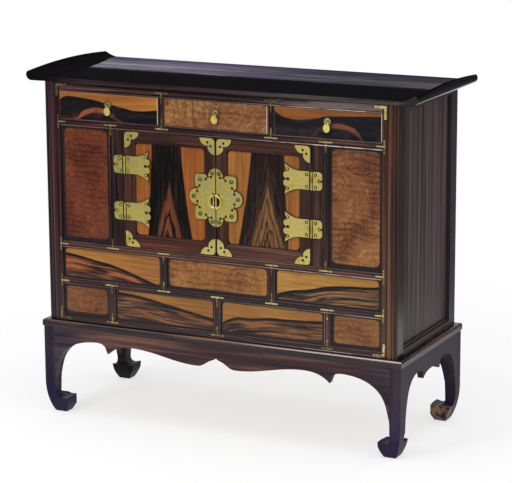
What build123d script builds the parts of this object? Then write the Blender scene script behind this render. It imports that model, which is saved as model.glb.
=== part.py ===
from build123d import *
import math
import os

os.makedirs("parts", exist_ok=True)

# Overall sizes, millimetres. +Z up, the front faces -Y, the origin is on the floor under the middle.
carcass_width = 800.0
carcass_depth = 320.0
carcass_base = 208.0
carcass_top = 721.0
half_width = carcass_width / 2
half_depth = carcass_depth / 2
front_y = -half_depth
back_y = half_depth

# Clearances
door_gap = 0.8
door_centre_gap = 1.2
door_stile_gap = 1.0
drawer_side_gap = 0.7
drawer_height_gap = 0.6
drawer_back_gap = 21.0
groove_end_gap = 0.5
knuckle_gap = 0.4
pin_gap = 0.08

# Posts
post_width = 35.0
post_depth = 32.0
opening_x = half_width - post_width
post_inner_y = half_depth - post_depth
wide_reed = 12.0
narrow_reed = 6.0
reed_height = 1.8

# Front rails and the rows between them. The doors take the height that is left.
rail_depth = 22.0
rail_back_y = front_y + rail_depth
top_rail_height = 19.2
drawer_row_height = 56.8
drawer_rail_height = 16.5
middle_rail_height = 15.0
upper_row_height = 65.0
lower_rail_height = 15.0
lower_row_height = 66.5
bottom_rail_height = 13.0
top_rail_bottom = carcass_top - top_rail_height
drawer_rail_top = top_rail_bottom - drawer_row_height
drawer_rail_bottom = drawer_rail_top - drawer_rail_height
bottom_rail_top = carcass_base + bottom_rail_height
lower_rail_bottom = bottom_rail_top + lower_row_height
lower_rail_top = lower_rail_bottom + lower_rail_height
middle_rail_bottom = lower_rail_top + upper_row_height
middle_rail_top = middle_rail_bottom + middle_rail_height
bead_width = 3.2
bead_height = 1.0
band_y = front_y + bead_height

# Tenons of the rails and dividers
tenon_length = 12.0
tenon_thickness = 8.0
tenon_shoulder = 2.0
stub_length = 5.0
tenon_setback = 8.0

# Dividers and stiles of the front
divider_width = 15.0
drawer_divider_x = (opening_x - divider_width) * 2 / 3 / 2 + divider_width / 2
lower_divider_x = 248.0
hinge_stile_width = 25.0
muntin_width = 12.0
door_edge_x = 212.0
stile_edge_x = door_edge_x + door_stile_gap
muntin_inner_x = stile_edge_x + hinge_stile_width
muntin_outer_x = muntin_inner_x + muntin_width

# Fixed panels of the front
panel_thickness = 7.0
panel_recess = 3.0
panel_groove = 4.0
panel_face_y = front_y + panel_recess
panel_back_y = panel_face_y + panel_thickness

# Sides and back
side_recess = 9.0
side_thickness = 8.0
side_rail_thickness = 22.0
side_rail_height = 18.0
side_tenon_inset = 2.0
side_groove = 5.0
ledge_height = 5.0
ledge_width = 4.5
side_face_x = half_width - side_recess
side_inner_x = side_face_x - side_thickness
side_rail_inner_x = half_width - side_rail_thickness
side_rail_top = carcass_base + side_rail_height
side_top_rail_bottom = carcass_top - side_rail_height
side_tenon_inner_x = side_inner_x + side_tenon_inset
back_rail_thickness = 22.0
back_panel_recess = 7.0
back_panel_thickness = 6.0
back_rail_front_y = back_y - back_rail_thickness
back_panel_back_y = back_y - back_panel_recess
back_panel_front_y = back_panel_back_y - back_panel_thickness

# Boards inside
bottom_board_lift = 3.0
bottom_board_thickness = 9.0
dust_board_thickness = 10.0
guide_height = 16.0
guide_clearance = 0.5
kicker_width = 40.0
kicker_thickness = 12.0
kicker_clearance = 1.2
bottom_board_bottom = carcass_base + bottom_board_lift
bottom_board_top = bottom_board_bottom + bottom_board_thickness
dust_board_bottom = drawer_rail_top - dust_board_thickness
kicker_bottom = top_rail_bottom + kicker_clearance
kicker_top = kicker_bottom + kicker_thickness

# Top board and its turned-up ends
top_overhang = 5.0
top_thickness = 8.5
top_tongue = 8.0
tongue_thickness = 3.0
tongue_lift = 2.5
end_seam_out = 3.0
end_proud = 1.0
end_flat_length = 24.0
end_length = 38.0
end_ridge_in = 3.5
end_scoop_in = 8.0
end_nose_lift = 10.0
end_tip_lift = 19.0
end_middle_lift = 26.0
end_scoop_sag = 1.4
end_round = 0.7
top_half_depth = half_depth + top_overhang
top_face = carcass_top + top_thickness
tongue_bottom = carcass_top + tongue_lift
top_seam_x = half_width + end_seam_out
end_half_depth = top_half_depth + end_proud
end_flat_x = top_seam_x + end_flat_length
end_nose_x = top_seam_x + end_length
end_nose_z = carcass_top + end_nose_lift
end_ridge_x = end_nose_x - end_ridge_in
end_scoop_x = top_seam_x + end_scoop_in
end_ridge_tip = carcass_top + end_tip_lift
end_ridge_middle = carcass_top + end_middle_lift

# Drawers
drawer_front_thickness = 16.0
drawer_side_thickness = 8.0
drawer_floor_thickness = 5.0
drawer_floor_lift = 4.0
drawer_rim_drop = 4.0
drawer_lap = 6.0
drawer_bottom = drawer_rail_top + drawer_height_gap
drawer_top = top_rail_bottom - drawer_height_gap
drawer_front_back_y = front_y + drawer_front_thickness
drawer_depth = back_panel_front_y - drawer_back_gap - drawer_front_back_y

# Doors
door_bottom = middle_rail_top + door_gap
door_top = drawer_rail_bottom - door_gap
door_thickness = 18.0
door_stile = 25.0
door_top_rail = 24.0
door_bottom_rail = 27.0
door_panel_thickness = 6.0
door_panel_recess = 2.0
door_panel_groove = 4.0
door_back_y = front_y + door_thickness

# Surface hinges
hinge_offset = 0.5
hinge_radius = 3.0
hinge_pin_radius = 1.4
hinge_half_height = 18.5
hinge_upper_drop = 70.7
hinge_lower_rise = 75.7
hinge_x = door_edge_x + hinge_offset
hinge_y = front_y - hinge_radius - knuckle_gap
hinge_upper_z = door_top - hinge_upper_drop
hinge_lower_z = door_bottom + hinge_lower_rise
plate_thickness = 1.2
leaf_clear = hinge_radius + knuckle_gap
fixed_leaf_length = 24.5
fixed_leaf_round = 7.0
fixed_leaf_scallop = 2.6
flare_start = 24.0
flare_middle = 43.0
flare_middle_half = 22.5
flare_tip = 57.0
flare_tip_half = 31.0
flare_notch = 53.5
flare_notch_half = 22.0
lobe_start_half = 15.5
lobe_end = 60.5
lobe_inner_half = 1.0
lobe_radius = 3.0
keyhole = 50.5
keyhole_radius = 3.6

# Butterfly corner plates of the doors, measured from the door's corner
wing_edge = 1.0
wing_cut = 9.5
wing_cut_deep = 3.5
wing_tip = 34.5
wing_tip_width = 2.8
wing_swell = 31.0
wing_swell_width = 10.5
wing_neck = 23.0
wing_neck_width = 16.4
wing_dip = 19.4
wing_dip_width = 16.4
wing_waist = 16.2
wing_hole_long = 17.2
wing_hole_short = 9.6
wing_hole_radius = 1.9

# Lobed lock plate, split by the gap of the doors
lock_drop = 1.0
lock_z = (door_bottom + door_top) / 2 - lock_drop
lock_thickness = 1.4
lock_disc_radius = 44.0
lock_slit = 1.8
lobe_count = 8
lobe_centre = 44.0
lock_lobe_radius = 16.5
corner_lobe_centre = 47.0
corner_lobe_size = 27.5
corner_lobe_round = 6.5
neck_width = 18.6
neck_length = 7.8
scroll_angle = 13.5
scroll_centre = 43.4
scroll_radius = 2.8
rivet_centre = 50.5
rivet_radius = 3.4
rivet_height = 1.5
split_rivet_x = 7.5

# Half-ring pulls on the lock plate
ring_drop = 7.5
ring_stand_off = 6.5
ring_radius = 13.4
ring_rod = 1.3
ring_bar_x = 2.8
ring_eye_x = 6.2
ring_eye_major = 3.2
ring_eye_minor = 0.8
ring_z = lock_z - ring_drop
ring_y = front_y - ring_stand_off
ring_eye_z = ring_z + math.sqrt(ring_radius ** 2 - ring_eye_x ** 2)
eye_shank = 1.5

# Drop pulls of the drawers
pull_lift = 5.6
pull_stand_off = 5.5
pull_z = (drawer_bottom + drawer_top) / 2 + pull_lift
pull_y = front_y - pull_stand_off
rosette_radius = 8.2
rosette_thickness = 1.0
rosette_rim = 1.4
rosette_rim_height = 0.8
pull_eye_major = 2.6
pull_eye_minor = 0.8
drop_hole_radius = 2.1
drop_loop_radius = 3.7
drop_loop_drop = 2.9
drop_body_drop = 13.0
drop_half_width = 7.3
drop_half_height = 8.6
drop_thickness = 2.0

# Thin brass plates on the frame
brass_thickness = 0.8
brass_bar = 3.4
brass_bar_length = 29.0
brass_stem = 13.0
brass_out = 4.5
tee_upright = 29.0
tee_arm = 13.0
corner_arm = 26.0
corner_bar = 5.2
corner_upright = 27.0
corner_out = 9.0
corner_top_drop = 3.5
corner_bottom_rise = 2.5
brass_band_x = opening_x + brass_out
corner_edge_x = opening_x + corner_out
corner_top_z = carcass_top - corner_top_drop
corner_bottom_z = carcass_base + corner_bottom_rise

# Stand
stand_frame_height = 16.0
stand_out_x = 14.0
stand_out_y = 11.0
stand_frame_width = 46.0
stand_round = 5.0
stand_lower_round = 3.0
stand_top = carcass_base
stand_frame_bottom = stand_top - stand_frame_height
stand_frame_x = half_width + stand_out_x
stand_frame_y = half_depth + stand_out_y
leg_inset_x = 2.0
leg_inset_y = 3.0
leg_width = 24.0
leg_depth = 25.5
leg_x = stand_frame_x - leg_inset_x
leg_y = stand_frame_y - leg_inset_y
leg_inner_x = leg_x - leg_width
leg_inner_y = leg_y - leg_depth
leg_tenon = 8.0
leg_tenon_size = 13.0
leg_tenon_setback = 6.0
apron_thickness = 13.0
apron_tenon = 8.0
apron_tenon_thickness = 6.5
apron_tenon_setback = 3.25
apron_tenon_drop = 5.0
apron_tenon_height = 15.0
apron_tenon_top = stand_frame_bottom - apron_tenon_drop
apron_tenon_bottom = apron_tenon_top - apron_tenon_height

# Foot of a leg: heights of the outer sweep, the sole and the toe, and how far in from the leg's outer face
sweep_start = 74.0
sweep_middle = 33.0
sweep_middle_in = 4.0
sweep_low = 12.0
sweep_low_in = 10.0
sole_outer_in = 16.5
sole_inner_in = 41.0
toe_low = 11.0
toe_low_in = 47.0
toe_middle = 24.0
toe_in = 51.5
toe_top = 34.5
toe_top_in = 50.5
toe_heel = 36.5
toe_heel_out = 2.0
toe_round = 13.0
ankle = 50.0

# Lower outline of the front and back aprons, half of it. Drops are from the stand frame.
cusp_drop = 21.0
cusp_side_x = 13.0
cusp_side_drop = 32.0
swell_x = 44.0
swell_drop = 46.0
spur_from_leg = 131.0
spur_drop = 47.0
rise_from_spur = 57.0
rise_drop = 26.5
spur_width = 5.0
spur_back_drop = 34.0
arch_from_leg = 96.0
arch_drop = 24.5
arch_side_from_leg = 37.0
arch_side_drop = 42.0
arch_low_from_leg = 10.0
arch_low_drop = 76.0
arch_foot_from_leg = 2.0
arch_foot_drop = 107.0
arch_end_lift = 2.0
cusp_z = stand_frame_bottom - cusp_drop
cusp_side_z = stand_frame_bottom - cusp_side_drop
swell_z = stand_frame_bottom - swell_drop
spur_x = leg_inner_x - spur_from_leg
spur_z = stand_frame_bottom - spur_drop
rise_x = spur_x - rise_from_spur
rise_z = stand_frame_bottom - rise_drop
spur_back_x = spur_x + spur_width
spur_back_z = stand_frame_bottom - spur_back_drop
arch_x = leg_inner_x - arch_from_leg
arch_z = stand_frame_bottom - arch_drop
arch_side_x = leg_inner_x - arch_side_from_leg
arch_side_z = stand_frame_bottom - arch_side_drop
arch_low_x = leg_inner_x - arch_low_from_leg
arch_low_z = stand_frame_bottom - arch_low_drop
arch_foot_x = leg_inner_x - arch_foot_from_leg
arch_foot_z = stand_frame_bottom - arch_foot_drop
arch_end_z = ankle + arch_end_lift

# Lower outline of the side aprons, half of it
side_middle_drop = 38.0
side_spur_from_leg = 98.0
side_spur_drop = 50.0
side_spur_width = 6.0
side_spur_back_drop = 35.0
side_arch_from_leg = 65.0
side_arch_drop = 29.0
side_arch_side_from_leg = 29.5
side_arch_side_drop = 43.0
side_arch_low_from_leg = 10.0
side_arch_low_drop = 77.0
side_middle_z = stand_frame_bottom - side_middle_drop
side_spur_y = leg_inner_y - side_spur_from_leg
side_spur_z = stand_frame_bottom - side_spur_drop
side_spur_back_y = side_spur_y + side_spur_width
side_spur_back_z = stand_frame_bottom - side_spur_back_drop
side_arch_y = leg_inner_y - side_arch_from_leg
side_arch_z = stand_frame_bottom - side_arch_drop
side_arch_side_y = leg_inner_y - side_arch_side_from_leg
side_arch_side_z = stand_frame_bottom - side_arch_side_drop
side_arch_low_y = leg_inner_y - side_arch_low_from_leg
side_arch_low_z = stand_frame_bottom - side_arch_low_drop


def block(x_from, x_to, y_from, y_to, z_from, z_to):
    corner = (Align.MIN, Align.MIN, Align.MIN)
    return Pos(x_from, y_from, z_from) * Box(x_to - x_from, y_to - y_from, z_to - z_from, align=corner)


def flipped(shape):
    return mirror(shape, about=Plane.YZ)


def to_back(shape):
    return mirror(shape, about=Plane.XZ)


def both_sides(shape):
    return [shape, flipped(shape)]


def compound(pieces):
    return Compound(children=list(pieces))


def front_sheet(face, y_from, thickness):
    # A face drawn in X and Z, made into a sheet that stands out toward the front.
    return Pos(0, y_from, 0) * extrude(Plane.XZ * face, thickness)


# ---- front frame ----

row_rails = [
    ("top", top_rail_bottom, carcass_top),
    ("drawer", drawer_rail_bottom, drawer_rail_top),
    ("middle", middle_rail_bottom, middle_rail_top),
    ("lower", lower_rail_bottom, lower_rail_top),
    ("bottom", carcass_base, bottom_rail_top),
]
small_panel_edge = lower_divider_x + divider_width / 2
large_panel_edge = lower_divider_x - divider_width / 2
outer_field_edge = drawer_divider_x + divider_width / 2
inner_field_edge = drawer_divider_x - divider_width / 2


def moulded_section(length, depth):
    # Section of a frame piece: a flat band between two edge beads. X runs across it, Y into the wood.
    bead_middle = bead_width / 2
    edges = [
        Line((0, depth), (0, bead_height)),
        ThreePointArc((0, bead_height), (bead_middle, 0), (bead_width, bead_height)),
        Line((bead_width, bead_height), (length - bead_width, bead_height)),
        ThreePointArc((length - bead_width, bead_height), (length - bead_middle, 0),
                      (length, bead_height)),
        Line((length, bead_height), (length, depth)),
        Line((length, depth), (0, depth)),
    ]
    return make_face(edges)


def moulded_rail(z_from, z_to):
    section = moulded_section(z_to - z_from, rail_depth)
    plane = Plane(origin=(-opening_x, front_y, z_from), x_dir=(0, 0, 1), z_dir=(1, 0, 0))
    face = plane * mirror(section, about=Plane.XZ)
    rail = extrude(face, opening_x * 2, dir=(1, 0, 0))
    return rail


def moulded_upright(x_from, x_to, z_from, z_to):
    section = moulded_section(x_to - x_from, rail_depth)
    face = Plane(origin=(x_from, front_y, z_from)) * section
    return extrude(face, z_to - z_from, dir=(0, 0, 1))


def rail_tenon(z_from, z_to):
    # Right-hand tenon of a front rail.
    y_from = front_y + tenon_setback
    return block(opening_x, opening_x + tenon_length, y_from, y_from + tenon_thickness,
                 z_from + tenon_shoulder, z_to - tenon_shoulder)


def upright_stubs(x_from, x_to, z_from, z_to):
    y_from = front_y + tenon_setback
    y_to = y_from + tenon_thickness
    x_in = x_from + bead_width
    x_out = x_to - bead_width
    upper = block(x_in, x_out, y_from, y_to, z_to, z_to + stub_length)
    lower = block(x_in, x_out, y_from, y_to, z_from - stub_length, z_from)
    return [upper, lower]


# Places of the uprights: left edge, right edge, bottom, top.
drawer_upright = (inner_field_edge, outer_field_edge, drawer_rail_top, top_rail_bottom)
hinge_upright = (stile_edge_x, muntin_inner_x, middle_rail_top, drawer_rail_bottom)
muntin_upright = (muntin_inner_x, muntin_outer_x, middle_rail_top, drawer_rail_bottom)
upper_row_upright = (inner_field_edge, outer_field_edge, lower_rail_top, middle_rail_bottom)
lower_row_upright = (large_panel_edge, small_panel_edge, bottom_rail_top, lower_rail_bottom)
centre_upright = (-divider_width / 2, divider_width / 2, bottom_rail_top, lower_rail_bottom)
paired_uprights = [drawer_upright, hinge_upright, muntin_upright, upper_row_upright, lower_row_upright]


def all_stubs():
    stubs = list(upright_stubs(*centre_upright))
    for place in paired_uprights:
        for stub in upright_stubs(*place):
            stubs += both_sides(stub)
    return stubs


def panel_board(x_from, x_to, z_from, z_to):
    tongue = panel_groove - groove_end_gap
    return block(x_from - tongue, x_to + tongue, panel_face_y, panel_back_y, z_from - tongue, z_to + tongue)


def panel_slot(x_from, x_to, z_from, z_to):
    return block(x_from - panel_groove, x_to + panel_groove, panel_face_y, panel_back_y,
                 z_from - panel_groove, z_to + panel_groove)


# Openings of the fixed panels: left edge, right edge, bottom, top.
side_field = (muntin_outer_x, opening_x, middle_rail_top, drawer_rail_bottom)
upper_outer_field = (outer_field_edge, opening_x, lower_rail_top, middle_rail_bottom)
upper_centre_field = (-inner_field_edge, inner_field_edge, lower_rail_top, middle_rail_bottom)
lower_outer_field = (small_panel_edge, opening_x, bottom_rail_top, lower_rail_bottom)
lower_inner_field = (divider_width / 2, large_panel_edge, bottom_rail_top, lower_rail_bottom)


def panel_slots():
    slots = [panel_slot(*upper_centre_field)]
    for field in [side_field, upper_outer_field, lower_outer_field, lower_inner_field]:
        slots += both_sides(panel_slot(*field))
    return slots


slots = panel_slots()
stubs = all_stubs()


def front_rail(z_from, z_to):
    rail = moulded_rail(z_from, z_to)
    tenon = rail_tenon(z_from, z_to)
    rail = rail + tenon + flipped(tenon)
    for slot in slots:
        rail = rail - slot
    for stub in stubs:
        rail = rail - stub
    return rail


def upright(x_from, x_to, z_from, z_to):
    piece = moulded_upright(x_from, x_to, z_from, z_to)
    for stub in upright_stubs(x_from, x_to, z_from, z_to):
        piece = piece + stub
    for slot in slots:
        piece = piece - slot
    return piece


# ---- posts, sides and back ----

def reeded_section():
    # Plan of the right front post. The flat strip beside the rails carries the brass.
    x = opening_x + post_width - wide_reed - narrow_reed - narrow_reed
    groove_y = front_y + reed_height
    edges = [
        Line((opening_x, front_y + post_depth), (opening_x, band_y)),
        Line((opening_x, band_y), (x, band_y)),
        Line((x, band_y), (x, groove_y)),
    ]
    for width in [wide_reed, narrow_reed, narrow_reed]:
        edges.append(ThreePointArc((x, groove_y), (x + width / 2, front_y), (x + width, groove_y)))
        x += width
    edges.append(Line((half_width, groove_y), (half_width, front_y + post_depth)))
    edges.append(Line((half_width, front_y + post_depth), (opening_x, front_y + post_depth)))
    return make_face(edges)


def side_rail_tenons():
    # Front tenons of the right-hand side rails, top and bottom.
    y_to = -post_inner_y
    y_from = y_to - tenon_length
    x_from = side_tenon_inner_x
    x_to = x_from + tenon_thickness
    low = block(x_from, x_to, y_from, y_to, carcass_base + tenon_shoulder, side_rail_top - tenon_shoulder)
    high = block(x_from, x_to, y_from, y_to, side_top_rail_bottom + tenon_shoulder,
                 carcass_top - tenon_shoulder)
    return [low, high]


def back_rail_tenons():
    y_from = back_rail_front_y + tenon_setback
    y_to = y_from + tenon_thickness
    x_to = opening_x + tenon_length
    low = block(opening_x, x_to, y_from, y_to, carcass_base + tenon_shoulder, side_rail_top - tenon_shoulder)
    high = block(opening_x, x_to, y_from, y_to, side_top_rail_bottom + tenon_shoulder,
                 carcass_top - tenon_shoulder)
    return [low, high]


def side_panel_slot():
    reach = post_inner_y + side_groove
    return block(side_inner_x, side_face_x, -reach, reach, side_rail_top - side_groove,
                 side_top_rail_bottom + side_groove)


def back_panel_slot():
    reach = opening_x + side_groove
    return block(-reach, reach, back_panel_front_y, back_panel_back_y, side_rail_top - side_groove,
                 side_top_rail_bottom + side_groove)


def front_post():
    post = extrude(Plane(origin=(0, 0, carcass_base)) * reeded_section(), carcass_top - carcass_base)
    for name, z_from, z_to in row_rails:
        post = post - rail_tenon(z_from, z_to)
    for tenon in side_rail_tenons():
        post = post - tenon
    for slot in slots:
        post = post - slot
    return post - side_panel_slot()


def back_post():
    post = block(opening_x, half_width, post_inner_y, back_y, carcass_base, carcass_top)
    for tenon in side_rail_tenons():
        post = post - to_back(tenon)
    for tenon in back_rail_tenons():
        post = post - tenon
    return post - side_panel_slot() - back_panel_slot()


def side_rails():
    low = block(side_rail_inner_x, half_width, -post_inner_y, post_inner_y, carcass_base, side_rail_top)
    ledge = block(half_width - ledge_width, half_width, -post_inner_y, post_inner_y,
                  side_rail_top - ledge_height, side_rail_top)
    low = low - ledge
    high = block(side_rail_inner_x, half_width, -post_inner_y, post_inner_y, side_top_rail_bottom,
                 carcass_top)
    low_tenon, high_tenon = side_rail_tenons()
    low = low + low_tenon + to_back(low_tenon) - side_panel_slot()
    high = high + high_tenon + to_back(high_tenon) - side_panel_slot()
    return compound([low, high])


def side_panel():
    tongue = side_groove - groove_end_gap
    reach = post_inner_y + tongue
    return block(side_inner_x, side_face_x, -reach, reach, side_rail_top - tongue,
                 side_top_rail_bottom + tongue)


def back_rails():
    low = block(-opening_x, opening_x, back_rail_front_y, back_y, carcass_base, side_rail_top)
    high = block(-opening_x, opening_x, back_rail_front_y, back_y, side_top_rail_bottom, carcass_top)
    low_tenon, high_tenon = back_rail_tenons()
    low = low + low_tenon + flipped(low_tenon) - back_panel_slot()
    high = high + high_tenon + flipped(high_tenon) - back_panel_slot()
    return compound([low, high])


def back_panel():
    tongue = side_groove - groove_end_gap
    reach = opening_x + tongue
    return block(-reach, reach, back_panel_front_y, back_panel_back_y, side_rail_top - tongue,
                 side_top_rail_bottom + tongue)


def post_room():
    # The corners that boards inside leave free for the posts.
    front = block(opening_x, half_width, front_y, -post_inner_y, carcass_base, carcass_top)
    return both_sides(front) + both_sides(to_back(front))


def bottom_board():
    board = block(-side_rail_inner_x, side_rail_inner_x, rail_back_y, back_rail_front_y,
                  bottom_board_bottom, bottom_board_top)
    for corner in post_room():
        board = board - corner
    return board


def dust_board():
    board = block(-side_inner_x, side_inner_x, rail_back_y, back_panel_front_y, dust_board_bottom,
                  drawer_rail_top)
    for corner in post_room():
        board = board - corner
    return board


def drawer_guides():
    x_from = inner_field_edge + guide_clearance
    x_to = outer_field_edge - guide_clearance
    z_to = drawer_rail_top + guide_height
    middle = block(x_from, x_to, rail_back_y, back_panel_front_y, drawer_rail_top, z_to)
    outer = block(opening_x, side_inner_x, -post_inner_y, post_inner_y, drawer_rail_top, z_to)
    kicker_x = drawer_divider_x - kicker_width / 2
    kicker = block(kicker_x, kicker_x + kicker_width, rail_back_y, back_rail_front_y, kicker_bottom,
                   kicker_top)
    pieces = []
    for strip in [middle, outer, kicker]:
        pieces += both_sides(strip)
    return compound(pieces)


# ---- top board ----

def top_tongue_block():
    return block(top_seam_x, top_seam_x + top_tongue, -top_half_depth, top_half_depth,
                 tongue_bottom, tongue_bottom + tongue_thickness)


def top_board():
    board = block(-top_seam_x, top_seam_x, -top_half_depth, top_half_depth, carcass_top, top_face)
    tongue = top_tongue_block()
    return board + tongue + flipped(tongue)


def end_section(y, ridge_z):
    # Section of the turned-up end: flat under, round nose, a scoop up from the board to the ridge.
    plane = Plane(origin=(0, y, 0), x_dir=(1, 0, 0), z_dir=(0, -1, 0))
    nose = (end_nose_x, end_nose_z)
    under_x = end_flat_x + (end_nose_x - end_flat_x) * end_round
    under_z = carcass_top + (end_nose_z - carcass_top) * (1 - end_round)
    ridge = (end_ridge_x, ridge_z)
    scoop_x = (end_scoop_x + end_ridge_x) / 2
    scoop_z = (top_face + ridge_z) / 2 - end_scoop_sag
    brow_x = end_nose_x - (end_nose_x - end_ridge_x) * (1 - end_round)
    brow_z = end_nose_z + (ridge_z - end_nose_z) * end_round
    edges = [
        Line((top_seam_x, carcass_top), (end_flat_x, carcass_top)),
        ThreePointArc((end_flat_x, carcass_top), (under_x, under_z), nose),
        ThreePointArc(nose, (brow_x, brow_z), ridge),
        ThreePointArc(ridge, (scoop_x, scoop_z), (end_scoop_x, top_face)),
        Line((end_scoop_x, top_face), (top_seam_x, top_face)),
        Line((top_seam_x, top_face), (top_seam_x, carcass_top)),
    ]
    return plane * make_face(edges)


def top_end():
    sections = [
        end_section(-end_half_depth, end_ridge_tip),
        end_section(0, end_ridge_middle),
        end_section(end_half_depth, end_ridge_tip),
    ]
    return loft(sections) - top_tongue_block()


# ---- stand ----

def leg_tenon_block():
    x_to = leg_x - leg_tenon_setback
    y_from = -leg_y + leg_tenon_setback
    return block(x_to - leg_tenon_size, x_to, y_from, y_from + leg_tenon_size,
                 stand_frame_bottom, stand_frame_bottom + leg_tenon)


def stand_frame():
    outer = block(-stand_frame_x, stand_frame_x, -stand_frame_y, stand_frame_y, stand_frame_bottom, stand_top)
    rim_x = stand_frame_x - stand_frame_width
    rim_y = stand_frame_y - stand_frame_width
    outer = fillet(outer.faces().sort_by(Axis.Z)[-1].edges(), stand_round)
    outer = fillet(outer.faces().sort_by(Axis.Z)[0].edges(), stand_lower_round)
    frame = outer - block(-rim_x, rim_x, -rim_y, rim_y, stand_frame_bottom, stand_top)
    tenon = leg_tenon_block()
    for piece in both_sides(tenon) + both_sides(to_back(tenon)):
        frame = frame - piece
    return frame


def leg_outline(outer, inner):
    # Sawn outline of a leg seen square on: outer sweep, sole, toe turned inward, ankle.
    out_low = (outer - sole_outer_in, 0)
    in_low = (outer - sole_inner_in, 0)
    top = stand_frame_bottom
    sweep = Spline([
        (outer, sweep_start),
        (outer - sweep_middle_in, sweep_middle),
        (outer - sweep_low_in, sweep_low),
        out_low,
    ], tangents=[(0, -1), (-1, -1)])
    toe = Spline([
        in_low,
        (outer - toe_low_in, toe_low),
        (outer - toe_in, toe_middle),
        (outer - toe_top_in, toe_top),
    ])
    instep = Spline([
        (outer - toe_top_in, toe_top),
        (inner - toe_heel_out, toe_heel),
        (inner, ankle),
    ])
    edges = [
        Line((outer, top), (outer, sweep_start)),
        sweep,
        Line(out_low, in_low),
        toe,
        instep,
        Line((inner, ankle), (inner, top)),
        Line((inner, top), (outer, top)),
    ]
    return make_face(edges)


def leg():
    # Right front leg, sawn from the front and from the side.
    front_face = Plane.XZ * leg_outline(leg_x, leg_inner_x)
    front_cut = extrude(front_face, leg_y * 2, both=True)
    side_plane = Plane(origin=(0, 0, 0), x_dir=(0, -1, 0), z_dir=(-1, 0, 0))
    side_face = side_plane * leg_outline(leg_y, leg_inner_y)
    side_cut = extrude(side_face, leg_x * 2, both=True)
    piece = front_cut & side_cut
    shank = piece & block(0, leg_x, -leg_y, 0, ankle, stand_frame_bottom)
    piece = shank + (piece & toe_room())
    piece = piece + leg_shoulder(front_apron_outline(), True) + leg_shoulder(side_apron_outline(), False)
    piece = piece + leg_tenon_block()
    piece = piece - front_apron_tenon() - side_apron_tenon()
    return piece


def toe_room():
    # Room of the foot, its inner corner rounded.
    room = block(leg_x - toe_in, leg_x, -leg_y, -leg_y + toe_in, 0, ankle)
    corner = room.edges().filter_by(Axis.Z).sort_by(Axis.X)[:2].sort_by(Axis.Y)[-1]
    return fillet(corner, toe_round)


def leg_shoulder(outline, front):
    # Knee block behind an apron, sawn to the arch of that apron and as deep as the leg.
    if front:
        sawn = extrude(Plane.XZ * outline, leg_depth - apron_thickness)
        sawn = Pos(0, leg_depth - leg_y, 0) * sawn
        return sawn & block(arch_x, leg_inner_x, -leg_y, 0, 0, stand_frame_bottom)
    plane = Plane(origin=(leg_inner_x, 0, 0), x_dir=(0, -1, 0), z_dir=(-1, 0, 0))
    sawn = extrude(plane * outline, apron_thickness - leg_width)
    return sawn & block(0, leg_x, -leg_inner_y, -side_arch_y, 0, stand_frame_bottom)


def front_apron_tenon():
    y_from = -leg_y + apron_tenon_setback
    return block(leg_inner_x, leg_inner_x + apron_tenon, y_from, y_from + apron_tenon_thickness,
                 apron_tenon_bottom, apron_tenon_top)


def side_apron_tenon():
    x_to = leg_x - apron_tenon_setback
    return block(x_to - apron_tenon_thickness, x_to, -leg_inner_y - apron_tenon, -leg_inner_y,
                 apron_tenon_bottom, apron_tenon_top)


def front_apron_outline():
    top = stand_frame_bottom
    edges = [
        Spline([(0, cusp_z), (cusp_side_x, cusp_side_z), (swell_x, swell_z)],
               tangents=[(swell_z - cusp_z, -cusp_z), (1, 0)]),
        Spline([(swell_x, swell_z), (rise_x, rise_z)], tangents=[(1, 0), (1, 0)]),
        Spline([(rise_x, rise_z), (spur_x, spur_z)], tangents=[(1, 0), (1, -1)]),
        Line((spur_x, spur_z), (spur_back_x, spur_back_z)),
        Spline([(spur_back_x, spur_back_z), (arch_x, arch_z), (arch_side_x, arch_side_z),
                (arch_low_x, arch_low_z), (arch_foot_x, arch_foot_z), (leg_inner_x, arch_end_z)],
               tangents=[(spur_width, spur_width * 2), (0, -1)]),
        Line((leg_inner_x, arch_end_z), (leg_inner_x, top)),
        Line((leg_inner_x, top), (0, top)),
        Line((0, top), (0, cusp_z)),
    ]
    return make_face(edges)


def front_apron():
    half = extrude(Plane.XZ * front_apron_outline(), apron_thickness)
    half = Pos(0, -leg_y + apron_thickness, 0) * half
    tenon = front_apron_tenon()
    return half + flipped(half) + tenon + flipped(tenon)


def side_apron_outline():
    top = stand_frame_bottom
    edges = [
        Spline([(0, side_middle_z), (side_spur_y, side_spur_z)], tangents=[(1, 0), (1, -1)]),
        Line((side_spur_y, side_spur_z), (side_spur_back_y, side_spur_back_z)),
        Spline([(side_spur_back_y, side_spur_back_z), (side_arch_y, side_arch_z),
                (side_arch_side_y, side_arch_side_z), (side_arch_low_y, side_arch_low_z),
                (leg_inner_y, arch_end_z)]),
        Line((leg_inner_y, arch_end_z), (leg_inner_y, top)),
        Line((leg_inner_y, top), (0, top)),
        Line((0, top), (0, side_middle_z)),
    ]
    return make_face(edges)


def side_apron():
    plane = Plane(origin=(leg_x - apron_thickness, 0, 0), x_dir=(0, 1, 0), z_dir=(1, 0, 0))
    half = extrude(plane * side_apron_outline(), apron_thickness)
    tenon = side_apron_tenon()
    return half + to_back(half) + tenon + to_back(tenon)


# ---- brass on the frame ----

def flat_bar(x_from, x_to, z_from, z_to):
    return block(x_from, x_to, band_y - brass_thickness, band_y, z_from, z_to)


def divider_tees(x, z_from, z_to, below, above):
    # A bar on the rail at each end of an upright, with a stem along the upright.
    half_bar = brass_bar / 2
    half_length = brass_bar_length / 2
    tees = []
    for rail_z, way in [(above, -1), (below, 1)]:
        end_z = (z_to if way < 0 else z_from) + way * brass_stem
        bar = flat_bar(x - half_length, x + half_length, rail_z - half_bar, rail_z + half_bar)
        stem = flat_bar(x - half_bar, x + half_bar, min(rail_z, end_z), max(rail_z, end_z))
        tees.append(bar + stem)
    return tees


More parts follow.
